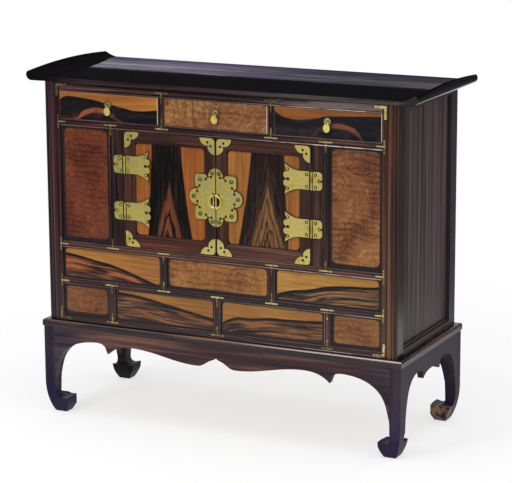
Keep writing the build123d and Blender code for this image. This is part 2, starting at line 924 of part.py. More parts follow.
def post_tee(z):
    half_bar = brass_bar / 2
    x = brass_band_x
    bar = flat_bar(x - half_bar, x + half_bar, z - tee_upright / 2, z + tee_upright / 2)
    arm = flat_bar(opening_x - tee_arm, x, z - half_bar, z + half_bar)
    return bar + arm


def corner_plate(z, way):
    z_arm = z + way * corner_bar
    z_end = z + way * corner_upright
    arm = flat_bar(corner_edge_x - corner_arm, corner_edge_x, min(z, z_arm), max(z, z_arm))
    leg_bar = flat_bar(corner_edge_x - corner_bar, corner_edge_x, min(z, z_end), max(z, z_end))
    return arm + leg_bar


def frame_brass():
    top_z = (top_rail_bottom + carcass_top) / 2
    drawer_z = (drawer_rail_bottom + drawer_rail_top) / 2
    middle_z = (middle_rail_bottom + middle_rail_top) / 2
    lower_z = (lower_rail_bottom + lower_rail_top) / 2
    bottom_z = (carcass_base + bottom_rail_top) / 2
    muntin_x = (muntin_inner_x + muntin_outer_x) / 2
    right = [corner_plate(corner_top_z, -1), corner_plate(corner_bottom_z, 1)]
    for z in [drawer_z, middle_z, lower_z]:
        right.append(post_tee(z))
    right += divider_tees(drawer_divider_x, drawer_rail_top, top_rail_bottom, drawer_z, top_z)
    right += divider_tees(muntin_x, middle_rail_top, drawer_rail_bottom, middle_z, drawer_z)
    right += divider_tees(drawer_divider_x, lower_rail_top, middle_rail_bottom, lower_z, middle_z)
    right += divider_tees(lower_divider_x, bottom_rail_top, lower_rail_bottom, bottom_z, lower_z)
    pieces = list(divider_tees(0, bottom_rail_top, lower_rail_bottom, bottom_z, lower_z))
    for piece in right:
        pieces += both_sides(piece)
    return pieces


# ---- doors, right-hand one ----

def door_members():
    inner = door_centre_gap
    outer = door_edge_x
    low = door_bottom
    high = door_top
    in_edge = inner + door_stile
    out_edge = outer - door_stile
    low_edge = low + door_bottom_rail
    high_edge = high - door_top_rail
    outlines = [
        [(inner, low), (in_edge, low_edge), (in_edge, high_edge), (inner, high)],
        [(outer, low), (outer, high), (out_edge, high_edge), (out_edge, low_edge)],
        [(inner, low), (outer, low), (out_edge, low_edge), (in_edge, low_edge)],
        [(inner, high), (in_edge, high_edge), (out_edge, high_edge), (outer, high)],
    ]
    groove = door_panel_block(door_panel_groove)
    members = []
    for outline in outlines:
        face = make_face(Polyline(*outline, close=True))
        members.append(front_sheet(face, door_back_y, door_thickness) - groove)
    return members


def door_panel_block(tongue):
    x_from = door_centre_gap + door_stile - tongue
    x_to = door_edge_x - door_stile + tongue
    z_from = door_bottom + door_bottom_rail - tongue
    z_to = door_top - door_top_rail + tongue
    y_from = front_y + door_panel_recess
    return block(x_from, x_to, y_from, y_from + door_panel_thickness, z_from, z_to)


def wing_plate():
    # Butterfly plate drawn from a door corner, X inward and Y down: two pointed wings that meet in a notch.
    edges = [
        Line((wing_cut, wing_edge), (wing_tip, wing_edge)),
        Line((wing_tip, wing_edge), (wing_tip, wing_tip_width)),
        ThreePointArc((wing_tip, wing_tip_width), (wing_swell, wing_swell_width), (wing_neck, wing_neck_width)),
        ThreePointArc((wing_neck, wing_neck_width), (wing_dip, wing_dip_width), (wing_waist, wing_waist)),
        ThreePointArc((wing_waist, wing_waist), (wing_dip_width, wing_dip), (wing_neck_width, wing_neck)),
        ThreePointArc((wing_neck_width, wing_neck), (wing_swell_width, wing_swell), (wing_tip_width, wing_tip)),
        Line((wing_tip_width, wing_tip), (wing_edge, wing_tip)),
        Line((wing_edge, wing_tip), (wing_edge, wing_cut)),
        ThreePointArc((wing_edge, wing_cut), (wing_cut_deep, wing_cut_deep), (wing_cut, wing_edge)),
    ]
    face = make_face(edges)
    holes = Pos(wing_hole_long, wing_hole_short) * Circle(wing_hole_radius)
    holes = holes + Pos(wing_hole_short, wing_hole_long) * Circle(wing_hole_radius)
    return face - holes


def door_corner_plates():
    plate = wing_plate()
    upper = mirror(plate, about=Plane.XZ)
    plates = []
    for corner_x, turn in [(door_centre_gap, False), (door_edge_x, True)]:
        low = mirror(plate, about=Plane.YZ) if turn else plate
        high = mirror(upper, about=Plane.YZ) if turn else upper
        plates.append(front_sheet(Pos(corner_x, door_bottom) * low, front_y, plate_thickness))
        plates.append(front_sheet(Pos(corner_x, door_top) * high, front_y, plate_thickness))
    return plates


def knuckle(radius, z_from, z_to):
    height = z_to - z_from
    place = Pos(hinge_x, hinge_y, z_from)
    return place * Cylinder(radius, height, align=(Align.CENTER, Align.CENTER, Align.MIN))


def door_leaf_outline():
    # Half of the flared leaf, X away from the pin and Y up; it ends in a point, a notch and a lobe.
    half = hinge_half_height
    edges = [
        Line((leaf_clear, 0), (leaf_clear, half)),
        Line((leaf_clear, half), (flare_start, half)),
        ThreePointArc((flare_start, half), (flare_middle, flare_middle_half), (flare_tip, flare_tip_half)),
        Line((flare_tip, flare_tip_half), (flare_notch + lobe_radius, flare_notch_half + lobe_radius)),
        Line((flare_notch + lobe_radius, flare_notch_half + lobe_radius), (flare_notch, lobe_start_half)),
        ThreePointArc((flare_notch, lobe_start_half), (lobe_end, (lobe_start_half + lobe_inner_half) / 2),
                      (flare_notch, lobe_inner_half)),
        Line((flare_notch, lobe_inner_half), (flare_notch, 0)),
        Line((flare_notch, 0), (leaf_clear, 0)),
    ]
    half_face = make_face(edges)
    face = half_face + mirror(half_face, about=Plane.XZ)
    slit = Pos(lobe_end, 0) * Rectangle((lobe_end - keyhole) * 2, lobe_inner_half * 2)
    return face - Pos(keyhole, 0) * Circle(keyhole_radius) - slit


def door_leaf(z):
    third = hinge_half_height / 3
    face = mirror(door_leaf_outline(), about=Plane.YZ)
    leaf = front_sheet(Pos(hinge_x, z) * face, front_y, plate_thickness)
    low = z - third + knuckle_gap / 2
    high = z + third - knuckle_gap / 2
    tab = block(hinge_x - leaf_clear, hinge_x - knuckle_gap / 2, front_y - plate_thickness, front_y, low, high)
    barrel = knuckle(hinge_radius, low, high) - knuckle(hinge_pin_radius + pin_gap, low, high)
    inside = knuckle(hinge_pin_radius + pin_gap, low, high)
    return leaf + (tab - inside) + barrel


def fixed_leaf(z):
    third = hinge_half_height / 3
    low = z - hinge_half_height
    high = z + hinge_half_height
    x_from = hinge_x + leaf_clear
    x_to = hinge_x + fixed_leaf_length
    plate = block(x_from, x_to, front_y - plate_thickness, front_y, low, high)
    plate = fillet(plate.edges().filter_by(Axis.Y).group_by(Axis.X)[-1], fixed_leaf_round)
    notch = Pos(x_to, front_y, z) * Rot(90, 0, 0) * Cylinder(fixed_leaf_scallop, hinge_half_height)
    leaf = plate - notch
    for z_from, z_to in [(low, z - third - knuckle_gap / 2), (z + third + knuckle_gap / 2, high)]:
        tab = block(hinge_x + knuckle_gap / 2, x_from, front_y - plate_thickness, front_y, z_from, z_to)
        leaf = leaf + tab + knuckle(hinge_radius, z_from, z_to)
    return leaf + knuckle(hinge_pin_radius, low, high)


def lock_outline():
    # Round and squared lobes by turns on short necks round a disc, with a scroll notch at each side of a neck.
    lobes = Pos(lobe_centre, 0) * Circle(lock_lobe_radius)
    for step in range(1, lobe_count):
        angle = step * 360 / lobe_count
        if step % 2:
            square = Rot(0, 0, -angle) * RectangleRounded(corner_lobe_size, corner_lobe_size, corner_lobe_round)
            lobe = Rot(0, 0, angle) * Pos(corner_lobe_centre, 0) * square
        else:
            lobe = Rot(0, 0, angle) * Pos(lobe_centre, 0) * Circle(lock_lobe_radius)
        lobes = lobes + lobe
    face = lobes - Circle(lock_disc_radius + lock_slit)
    face = face + Circle(lock_disc_radius)
    for step in range(lobe_count):
        turn = Rot(0, 0, step * 360 / lobe_count)
        face = face + turn * Pos(lock_disc_radius, 0) * Rectangle(neck_length, neck_width)
    for step in range(lobe_count):
        for side in [-1, 1]:
            turn = Rot(0, 0, step * 360 / lobe_count + side * scroll_angle)
            face = face - turn * Pos(scroll_centre, 0) * Circle(scroll_radius)
    return face


def rivet(x, z, y):
    sphere_radius = (rivet_radius ** 2 + rivet_height ** 2) / (2 * rivet_height)
    ball = Pos(x, y + sphere_radius - rivet_height, z) * Sphere(sphere_radius)
    reach = rivet_radius * 2
    return ball & block(x - reach, x + reach, y - reach, y, z - reach, z + reach)


def lock_half():
    reach = lobe_centre + lock_lobe_radius
    plate = front_sheet(Pos(0, lock_z) * lock_outline(), front_y, lock_thickness)
    half_room = block(door_centre_gap, reach, front_y * 2, back_y, lock_z - reach, lock_z + reach)
    plate = plate & half_room
    face_y = front_y - lock_thickness
    places = [(split_rivet_x, rivet_centre), (split_rivet_x, -rivet_centre)]
    for step in [-1, 0, 1]:
        angle = math.radians(step * 360 / lobe_count)
        places.append((rivet_centre * math.cos(angle), rivet_centre * math.sin(angle)))
    for x, z in places:
        plate = plate + rivet(x, lock_z + z, face_y)
    return plate + eye(ring_eye_x, ring_y, ring_eye_z, ring_eye_major, ring_eye_minor, face_y)


def eye(x, y, z, major, minor, face_y):
    # A ring standing out from a plate on a short shank, its hole along X.
    loop = Pos(x, y, z) * Rot(0, 90, 0) * Torus(major, minor)
    shank = block(x - minor, x + minor, y + major - minor / 2, face_y, z - eye_shank, z + eye_shank)
    return loop + shank


def half_ring():
    # A half ring closed by a straight bar, hung in the eye of its lock plate.
    reach = math.sqrt(ring_radius ** 2 - ring_bar_x ** 2)
    path_plane = Plane(origin=(0, ring_y, ring_z), x_dir=(1, 0, 0), z_dir=(0, -1, 0))
    curve = path_plane * ThreePointArc((ring_bar_x, -reach), (ring_radius, 0), (ring_bar_x, reach))
    bow = sweep(curve.location_at(0) * Circle(ring_rod), path=curve)
    bar = Pos(ring_bar_x, ring_y, ring_z) * Cylinder(ring_rod, reach * 2)
    ends = Pos(ring_bar_x, ring_y, ring_z + reach) * Sphere(ring_rod)
    ends = ends + Pos(ring_bar_x, ring_y, ring_z - reach) * Sphere(ring_rod)
    return bow + bar + ends


# ---- drawers ----

def drawer_walls(x_from, x_to, front_edge):
    side_x = x_to - drawer_side_thickness
    top = drawer_top - drawer_rim_drop
    left = block(x_from, x_from + drawer_side_thickness, front_edge, drawer_front_back_y + drawer_depth,
                 drawer_bottom, top)
    right = block(side_x, x_to, front_edge, drawer_front_back_y + drawer_depth, drawer_bottom, top)
    return left, right


def drawer_front(x_from, x_to):
    board = block(x_from, x_to, front_y, drawer_front_back_y, drawer_bottom, drawer_top)
    left, right = drawer_walls(x_from, x_to, drawer_front_back_y - drawer_lap)
    return board - left - right


def drawer_box(x_from, x_to):
    left, right = drawer_walls(x_from, x_to, drawer_front_back_y - drawer_lap)
    x_in = x_from + drawer_side_thickness
    x_out = x_to - drawer_side_thickness
    end_y = drawer_front_back_y + drawer_depth
    top = drawer_top - drawer_rim_drop
    floor_z = drawer_bottom + drawer_floor_lift
    back = block(x_in, x_out, end_y - drawer_side_thickness, end_y, floor_z, top)
    floor = block(x_in, x_out, drawer_front_back_y, end_y - drawer_side_thickness, floor_z,
                  floor_z + drawer_floor_thickness)
    return left + right + back + floor


def pull_rosette(x):
    turn = Rot(90, 0, 0)
    disc_place = Pos(x, front_y - rosette_thickness / 2, pull_z) * turn
    disc = disc_place * Cylinder(rosette_radius, rosette_thickness)
    rim_height = rosette_thickness + rosette_rim_height
    rim_place = Pos(x, front_y - rim_height / 2, pull_z) * turn
    rim = Cylinder(rosette_radius, rim_height) - Cylinder(rosette_radius - rosette_rim, rim_height)
    loop = eye(x, pull_y, pull_z, pull_eye_major, pull_eye_minor, front_y - rosette_thickness)
    return disc + rim_place * rim + loop


def pull_drop(x):
    # A flat pear-shaped drop with a round hole, hung in the eye of its rosette.
    loop = Pos(0, -drop_loop_drop) * Circle(drop_loop_radius)
    body = Pos(0, -drop_body_drop) * Ellipse(drop_half_width, drop_half_height)
    face = loop + body - Pos(0, -drop_loop_drop) * Circle(drop_hole_radius)
    return front_sheet(Pos(x, pull_z) * face, pull_y + drop_thickness / 2, drop_thickness)


# ---- write the parts ----

def save(name, shape):
    export_step(shape, "parts/" + name + ".step")


save("stand_frame", stand_frame())
right_leg = leg()
save("leg_front_right", right_leg)
save("leg_front_left", flipped(right_leg))
save("leg_back_right", to_back(right_leg))
save("leg_back_left", flipped(to_back(right_leg)))
save("apron_front", front_apron())
save("apron_back", to_back(front_apron()))
save("apron_right", side_apron())
save("apron_left", flipped(side_apron()))

right_post = front_post()
save("post_front_right", right_post)
save("post_front_left", flipped(right_post))
save("post_back_right", back_post())
save("post_back_left", flipped(back_post()))
for name, z_from, z_to in row_rails:
    rail = front_rail(z_from, z_to)
    for plate in frame_brass():
        rail = rail - plate
    save("rail_" + name, rail)
save("rails_back", back_rails())
save("rails_side_right", side_rails())
save("rails_side_left", flipped(side_rails()))
save("panel_side_right", side_panel())
save("panel_side_left", flipped(side_panel()))
save("panel_back", back_panel())
save("board_bottom", bottom_board())
save("board_dust", dust_board())
save("drawer_guides", drawer_guides())

stile = upright(*hinge_upright)
muntin = upright(*muntin_upright)
save("stiles_hinge", compound(both_sides(stile) + both_sides(muntin)))
row_uprights = [upright(*centre_upright)]
for place in [drawer_upright, upper_row_upright, lower_row_upright]:
    row_uprights += both_sides(upright(*place))
save("dividers", compound(row_uprights))

save("panel_burl_right", panel_board(*side_field))
save("panel_burl_left", flipped(panel_board(*side_field)))
figured = both_sides(panel_board(*upper_outer_field)) + both_sides(panel_board(*lower_inner_field))
save("panels_figured", compound(figured))
burl = both_sides(panel_board(*lower_outer_field)) + [panel_board(*upper_centre_field)]
save("panels_burl", compound(burl))

save("top_board", top_board())
right_end = top_end()
save("top_end_right", right_end)
save("top_end_left", flipped(right_end))
save("frame_brass", compound(frame_brass()))

door_parts = [
    ("door_frame", compound(door_members())),
    ("door_panel", door_panel_block(door_panel_groove - groove_end_gap)),
    ("door_plates", compound(door_corner_plates() + [door_leaf(hinge_upper_z), door_leaf(hinge_lower_z)])),
    ("lock_plate", lock_half()),
    ("lock_ring", half_ring()),
]
for name, shape in door_parts:
    save(name + "_right", shape)
    save(name + "_left", flipped(shape))
fixed_leaves = both_sides(fixed_leaf(hinge_upper_z)) + both_sides(fixed_leaf(hinge_lower_z))
save("hinge_leaves_fixed", compound(fixed_leaves))

drawers = [
    ("left", -opening_x + drawer_side_gap, -outer_field_edge - drawer_side_gap),
    ("centre", -inner_field_edge + drawer_side_gap, inner_field_edge - drawer_side_gap),
    ("right", outer_field_edge + drawer_side_gap, opening_x - drawer_side_gap),
]
for name, x_from, x_to in drawers:
    middle = (x_from + x_to) / 2
    save("drawer_front_" + name, drawer_front(x_from, x_to))
    save("drawer_box_" + name, drawer_box(x_from, x_to))
    save("pull_rosette_" + name, pull_rosette(middle))
    save("pull_drop_" + name, pull_drop(middle))
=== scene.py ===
import functools
import math
import bpy
from mathutils import Matrix, Vector


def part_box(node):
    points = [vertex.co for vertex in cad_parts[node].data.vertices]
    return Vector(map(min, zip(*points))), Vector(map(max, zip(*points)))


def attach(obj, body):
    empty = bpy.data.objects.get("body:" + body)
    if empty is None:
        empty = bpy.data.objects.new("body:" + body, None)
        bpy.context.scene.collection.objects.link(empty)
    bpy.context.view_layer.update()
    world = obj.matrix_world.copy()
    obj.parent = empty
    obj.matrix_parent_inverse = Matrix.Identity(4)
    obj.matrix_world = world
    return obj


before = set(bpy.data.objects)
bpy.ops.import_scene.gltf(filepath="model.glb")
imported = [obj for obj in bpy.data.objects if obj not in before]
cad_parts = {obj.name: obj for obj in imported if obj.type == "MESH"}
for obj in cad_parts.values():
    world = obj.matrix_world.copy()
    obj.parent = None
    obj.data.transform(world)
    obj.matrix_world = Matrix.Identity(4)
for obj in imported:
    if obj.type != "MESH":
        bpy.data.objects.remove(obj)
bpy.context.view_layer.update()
print("frame loaded", len(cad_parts), "pieces")

sides = {"left": -1, "right": 1}


# colours are written as 0 to 255 screen values and turned into linear light here
def linear(value):
    value = value / 255
    if value <= 0.04045:
        return value / 12.92
    return ((value + 0.055) / 1.055) ** 2.4


def paint(red, green, blue):
    return (linear(red), linear(green), linear(blue))


# the shader nodes of one tree, put together through short words for sums and masks
class Nodes:
    def __init__(self, tree):
        self.tree = tree
        tree.nodes.clear()

    def node(self, kind, inputs=None, **settings):
        made = self.tree.nodes.new(kind)
        for key, value in settings.items():
            setattr(made, key, value)
        for key, value in (inputs or {}).items():
            self.feed(made.inputs[key], value)
        return made

    def feed(self, socket, value):
        if isinstance(value, bpy.types.NodeSocket):
            self.tree.links.new(value, socket)
        elif socket.type == "RGBA":
            socket.default_value = (*value, 1.0)
        else:
            socket.default_value = value

    def calc(self, operation, first, second=0.0, clamp=False):
        made = self.node("ShaderNodeMath", {0: first, 1: second}, operation=operation, use_clamp=clamp)
        return made.outputs[0]

    def chain(self, operation, values):
        return functools.reduce(lambda first, second: self.calc(operation, first, second), values)

    def plus(self, *values):
        return self.chain("ADD", values)

    def times(self, *values):
        return self.chain("MULTIPLY", values)

    def least(self, *values):
        return self.chain("MINIMUM", values)

    def most(self, *values):
        return self.chain("MAXIMUM", values)

    def minus(self, first, second):
        return self.calc("SUBTRACT", first, second)

    def size(self, value):
        return self.calc("ABSOLUTE", value)

    def over(self, value, limit):
        return self.calc("GREATER_THAN", value, limit)

    def under(self, value, limit):
        return self.calc("LESS_THAN", value, limit)

    def apart(self, value, centre):
        return self.size(self.minus(value, centre))

    def share(self, value, low, high, clamp=True):
        return self.calc("DIVIDE", self.minus(value, low), high - low, clamp)

    def blend(self, weights):
        # the sum of (value, weight) pairs
        return self.plus(*[self.times(value, weight) for value, weight in weights])

    def pair(self, first, second, height=0.0):
        return self.node("ShaderNodeCombineXYZ", {0: first, 1: second, 2: height}).outputs[0]

    def distance(self, first, second):
        return self.node("ShaderNodeVectorMath", {0: self.pair(first, second)}, operation="LENGTH").outputs[1]

    def span(self, value, low, high, outLow=0.0, outHigh=1.0):
        # an eased step from outLow at low to outHigh at high
        made = self.node("ShaderNodeMapRange", {0: value, 1: low, 2: high, 3: outLow, 4: outHigh},
                         interpolation_type="SMOOTHSTEP")
        return made.outputs[0]

    def choose(self, mask, first, second):
        return self.node("ShaderNodeMix", {0: mask, 2: first, 3: second}).outputs[0]

    def mix(self, amount, first, second, blend="MIX"):
        made = self.node("ShaderNodeMix", {0: amount, 6: first, 7: second}, data_type="RGBA")
        made.blend_type = blend
        return made.outputs[2]

    def tint(self, colour, factors):
        return self.mix(1.0, colour, factors, "MULTIPLY")

    def tinted(self, amount, colour, factors):
        return self.mix(amount, colour, self.tint(colour, factors))

    def ramp(self, value, stops):
        made = self.node("ShaderNodeValToRGB", {0: value})
        points = made.color_ramp.elements
        while len(points) > 1:
            points.remove(points[-1])
        points[0].position = stops[0][0]
        points[0].color = (*stops[0][1], 1.0)
        for position, colour in stops[1:]:
            points.new(position).color = (*colour, 1.0)
        return made.outputs[0]

    def shades(self, value, look, **places):
        # a ramp through named colours of the look, each at its place
        return self.ramp(value, [(place, paint(*look[name])) for name, place in places.items()])

    def curve(self, value, points):
        made = self.node("ShaderNodeFloatCurve", {1: value})
        line = made.mapping.curves[0]
        line.points[0].location = points[0]
        line.points[1].location = points[-1]
        for point in points[1:-1]:
            line.points.new(*point)
        made.mapping.update()
        return made.outputs[0]

    def noise(self, vector, detail, rough, twist=0.0):
        made = self.node("ShaderNodeTexNoise", {"Vector": vector, "Scale": 1.0, "Detail": detail,
                                                "Roughness": rough, "Distortion": twist})
        return made.outputs[0]


# the nodes of one material, which reads the places of the object that it is on
class Finish(Nodes):
    def __init__(self, name):
        self.material = bpy.data.materials.new(name)
        self.material.use_nodes = True
        super().__init__(self.material.node_tree)
        self.output = self.node("ShaderNodeOutputMaterial")
        self.place = self.node("ShaderNodeTexCoord").outputs["Object"]
        parts = self.node("ShaderNodeSeparateXYZ", {0: self.place})
        self.x, self.y, self.z = parts.outputs[0], parts.outputs[1], parts.outputs[2]

    def cloud(self, scales, shift, detail, rough, twist=0.0):
        # noise with so many cloudlets to the metre, the same each way or along x, y and z
        scales = scales if isinstance(scales, tuple) else (scales, scales, scales)
        inputs = {0: self.place, "Location": (shift, shift, shift), "Scale": scales}
        moved = self.node("ShaderNodeMapping", inputs)
        return self.noise(moved.outputs[0], detail, rough, twist)

    def grain(self, along, across, length, shift, detail, rough, twist=0.0):
        # noise drawn out along the grain
        scales = [length if axis == along else across for axis in "xyz"]
        return self.cloud(tuple(scales), shift, detail, rough, twist)

    def bump(self, height, distance, strength):
        made = self.node("ShaderNodeBump", {"Height": height, "Distance": distance, "Strength": strength})
        return made.outputs[0]

    def finish(self, colour, rough, normal, specular, metal=0.0):
        made = self.node("ShaderNodeBsdfPrincipled", {
            "Base Color": colour, "Roughness": rough, "Normal": normal, "Metallic": metal,
            "Specular IOR Level": specular})
        return self.done(made)

    def done(self, shader):
        self.tree.links.new(shader.outputs[0], self.output.inputs[0])
        return self.material


white = (1.0, 1.0, 1.0)


# plain oiled wood: long streaks, broad cloudy change, short dark pores; shade paints highlight on the rounds
# and shade in the grooves, and the last mask paints a nearly white highlight on a rail's bead and marks real
# wear on a toe
def plainWood(name, along, look, shade=None, highlightAndWearMask=None):
    wood = Finish(name)
    streak = wood.grain(along, look["across"], look["length"], look["shift"], 6.0, 0.62, 0.4)
    cloud = wood.grain(along, 16.0, 2.2, look["shift"] + 3.0, 3.0, 0.5)
    pores = wood.span(wood.grain(along, 900.0, 36.0, look["shift"], 2.0, 0.5), 0.60, 0.70)
    tone = wood.blend([(streak, 0.55), (cloud, 0.45)])
    colour = wood.shades(tone, look, dark=0.36, middle=0.49, light=0.61)
    colour = wood.mix(wood.times(pores, 0.55), colour, paint(*look["pore"]))
    if shade is not None:
        colour = wood.tint(colour, shade(wood))
    # a painted highlight on the beads of the rails, real wear on the toe of a foot
    if highlightAndWearMask is not None:
        colour = wood.mix(highlightAndWearMask(wood, streak), colour, paint(*look["wearAndHighlight"]))
    rough = wood.span(streak, 0.25, 0.75, look["rough"] - 0.06, look["rough"] + 0.08)
    height = wood.minus(wood.times(streak, 0.5), wood.times(pores, 0.5))
    return wood.finish(colour, rough, wood.bump(height, 0.0002, 0.5), look["specular"])


# how light a moulded face is painted, as (share of its width, level): a painted highlight on the bead,
# painted shade in the quirk beside it, the flat
beadShades = {"width": 0.0075,
              "steps": [(0.0, 0.12), (0.09, 0.7), (0.21, 1.5), (0.33, 1.05), (0.43, 0.10), (0.55, 0.12),
                        (0.66, 0.72), (1.0, 1.0)]}
# painted highlight on the reeds of the front posts and painted shade in the grooves between them, as (share
# from the inner to the outer edge, level)
reedShades = {"inner": 0.365, "outer": 0.400,
              "steps": [(0.0, 0.15), (0.05, 0.75), (0.26, 0.8), (0.31, 0.10), (0.36, 0.8), (0.48, 1.5),
                        (0.60, 0.95), (0.655, 0.10), (0.70, 0.8), (0.745, 1.1), (0.79, 0.7), (0.83, 0.10),
                        (0.87, 0.45), (0.92, 0.7), (0.97, 0.45), (0.988, 0.4), (0.992, 0.34)]}


def levels(wood, place, steps):
    # levels are halved in the ramp and doubled after it, so that no colour in the ramp is over 1
    halves = wood.ramp(place, [(share, (level / 2, level / 2, level / 2)) for share, level in steps])
    return wood.tint(halves, (2.0, 2.0, 2.0))


def beadShade(wood, fromEdge):
    return levels(wood, wood.calc("DIVIDE", fromEdge, beadShades["width"], clamp=True), beadShades["steps"])


# the top rail has a painted shadow of the top on it, and a pale painted sheen
topRailLook = {"shadowFrom": 0.0066, "shadowTo": 0.0050, "shadow": (0.12, 0.11, 0.12), "veil": 0.16,
               "veilZ": (0.0180, 0.0160)}


def railShade(rail):
    low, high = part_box(rail)

    def shade(wood):
        fromEdge = wood.minus((high[2] - low[2]) / 2, wood.apart(wood.z, (high[2] + low[2]) / 2))
        shades = beadShade(wood, fromEdge)
        if rail != "rail_top":
            return shades
        shadow = wood.span(wood.z, high[2] - topRailLook["shadowFrom"], high[2] - topRailLook["shadowTo"])
        return wood.mix(shadow, shades, topRailLook["shadow"])
    return shade


# painted highlight: a white line along the lower bead of a rail, stronger toward the right
gleamShares = {"rail_top": 0.6, "rail_drawer": 0.8, "rail_middle": 0.45, "rail_lower": 0.35,
               "rail_bottom": 0.4}
gleamLine = {"rise": (0.0006, 0.0013), "fall": (0.0029, 0.0020), "rightward": (0.02, 0.28, 0.05, 1.0)}


def railGleam(rail):
    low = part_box(rail)[0]

    def highlightAndWearMask(wood, streak):
        above = wood.minus(wood.z, low[2])
        line = wood.times(wood.span(above, *gleamLine["rise"]), wood.span(above, *gleamLine["fall"]))
        broken = wood.span(wood.cloud((22.0, 1.0, 60.0), 5.0, 3.0, 0.6), 0.40, 0.54, 0.25, 1.0)
        line = wood.times(line, wood.times(broken, gleamShares[rail]))
        if rail == "rail_top":
            # a pale painted sheen over the top rail
            veil = wood.span(streak, 0.46, 0.56, 0.0, topRailLook["veil"])
            line = wood.most(line, wood.times(veil, wood.span(above, *topRailLook["veilZ"])))
        rightward = wood.span(wood.x, *gleamLine["rightward"])
        return wood.times(line, rightward)
    return highlightAndWearMask


# uprights between the panels, as (distance from the middle of the front, half width)
dividerPairs = [(0.1242, 0.0075), (0.248, 0.0075), (0.0, 0.0075)]
stilePairs = [(0.2245, 0.0125), (0.243, 0.006)]


def uprightShade(members):
    def shade(wood):
        reach = wood.size(wood.x)
        fromEdges = [wood.size(wood.minus(half, wood.apart(reach, centre))) for centre, half in members]
        return beadShade(wood, wood.least(*fromEdges))
    return shade


def postShade(wood):
    place = wood.share(wood.size(wood.x), reedShades["inner"], reedShades["outer"])
    return levels(wood, place, reedShades["steps"])


# dark lines where the boards of the back meet
backJoints = {"from": 0.236, "board": 0.118, "dark": (0.12, 0.12, 0.12)}


def jointShade(wood):
    boards = wood.calc("DIVIDE", wood.minus(wood.z, backJoints["from"]), backJoints["board"])
    line = wood.span(wood.apart(wood.calc("FRACT", boards), 0.5), 0.012, 0.004)
    return wood.mix(line, white, backJoints["dark"])


# the pale colour of the frame is the painted highlight along the beads of the rails
frameLook = {"across": 150.0, "length": 5.0, "shift": 0.0, "dark": (24, 13, 15), "middle": (50, 29, 28),
             "light": (104, 66, 54), "pore": (14, 8, 9), "wearAndHighlight": (214, 194, 190), "rough": 0.24,
             "specular": 0.36}
topRailWood = dict(frameLook, dark=(25, 14, 15), middle=(56, 36, 35), light=(124, 88, 80), specular=0.22)
stileLook = dict(frameLook, dark=(19, 11, 12), middle=(40, 23, 22), light=(80, 50, 40))
postLook = {"across": 190.0, "length": 3.0, "shift": 2.0, "dark": (30, 15, 14), "middle": (54, 30, 23),
            "light": (92, 55, 35), "pore": (18, 10, 10), "rough": 0.24, "specular": 0.4}
# the left front post is darker and purpler than the right one: painted shade
postLeftLook = dict(postLook, shift=6.0, dark=(28, 11, 17), middle=(48, 24, 28), light=(84, 46, 50))
sideLook = {"across": 120.0, "length": 1.3, "shift": 5.0, "dark": (30, 25, 26), "middle": (52, 44, 44),
            "light": (84, 72, 70), "pore": (14, 11, 12), "rough": 0.42, "specular": 0.3}
# the rear posts are lighter and purpler than the side boards: painted reflection
rearLook = dict(sideLook, dark=(34, 28, 36), middle=(50, 43, 54), light=(70, 61, 74))
standLook = {"across": 95.0, "length": 3.0, "shift": 8.0, "dark": (30, 19, 23), "middle": (56, 38, 40),
             "light": (100, 68, 58), "pore": (20, 12, 15), "rough": 0.4, "specular": 0.15}
legLook = {"across": 110.0, "length": 4.0, "shift": 11.0, "dark": (34, 25, 34), "middle": (48, 37, 46),
           "light": (62, 48, 56), "pore": (18, 12, 20), "wearAndHighlight": (150, 116, 84), "rough": 0.45,
           "specular": 0.12}
insideLook = {"across": 140.0, "length": 4.0, "shift": 14.0, "dark": (150, 120, 84),
              "middle": (178, 146, 106), "light": (200, 170, 128), "pore": (116, 88, 60), "rough": 0.62,
              "specular": 0.2}
backLook = {"across": 190.0, "length": 2.4, "shift": 17.0, "dark": (58, 46, 40), "middle": (84, 68, 58),
            "light": (110, 92, 78), "pore": (36, 28, 25), "rough": 0.6, "specular": 0.2}

# the knees are as brown as the ends of the aprons and the feet are blue black; painted light on the front
# faces of the right legs, painted shade on the left legs, the rear legs darker and the far left leg darkest
legTints = {"foot": (0.55, 0.58, 1.15), "left": (0.74, 0.80, 1.06), "front": (1.45, 1.50, 1.50),
            "rear": (0.62, 0.66, 0.95), "rearLeft": (0.22, 0.22, 0.24), "frontFace": -0.1655,
            "rearFrom": 0.1, "footZ": (0.15, 0.03)}


def legShade(wood):
    left = wood.under(wood.x, 0.0)
    rear = wood.over(wood.y, legTints["rearFrom"])
    front = wood.times(wood.under(wood.y, legTints["frontFace"]), wood.over(wood.x, 0.0))
    shade = wood.mix(wood.span(wood.z, *legTints["footZ"]), white, legTints["foot"])
    # painted shade on the left legs, painted light on the front faces of the right legs, then darker rear
    # legs
    shade = wood.tinted(left, shade, legTints["left"])
    shade = wood.tinted(front, shade, legTints["front"])
    shade = wood.tinted(rear, shade, legTints["rear"])
    return wood.mix(wood.times(rear, left), shade, legTints["rearLeft"])


toeWear = {"z": (0.06, 0.03), "rightOf": 0.3, "y": (0.150, 0.120), "patches": (0.42, 0.62, 0.0, 0.8)}


def toeWearMask(wood, streak):
    # tan wear on the toe of the rear right foot
    toe = wood.times(wood.span(wood.z, *toeWear["z"]), wood.over(wood.x, toeWear["rightOf"]),
                     wood.span(wood.y, *toeWear["y"]), wood.over(wood.y, 0.0))
    return wood.times(toe, wood.span(wood.cloud(60.0, 3.0, 3.0, 0.6), *toeWear["patches"]))


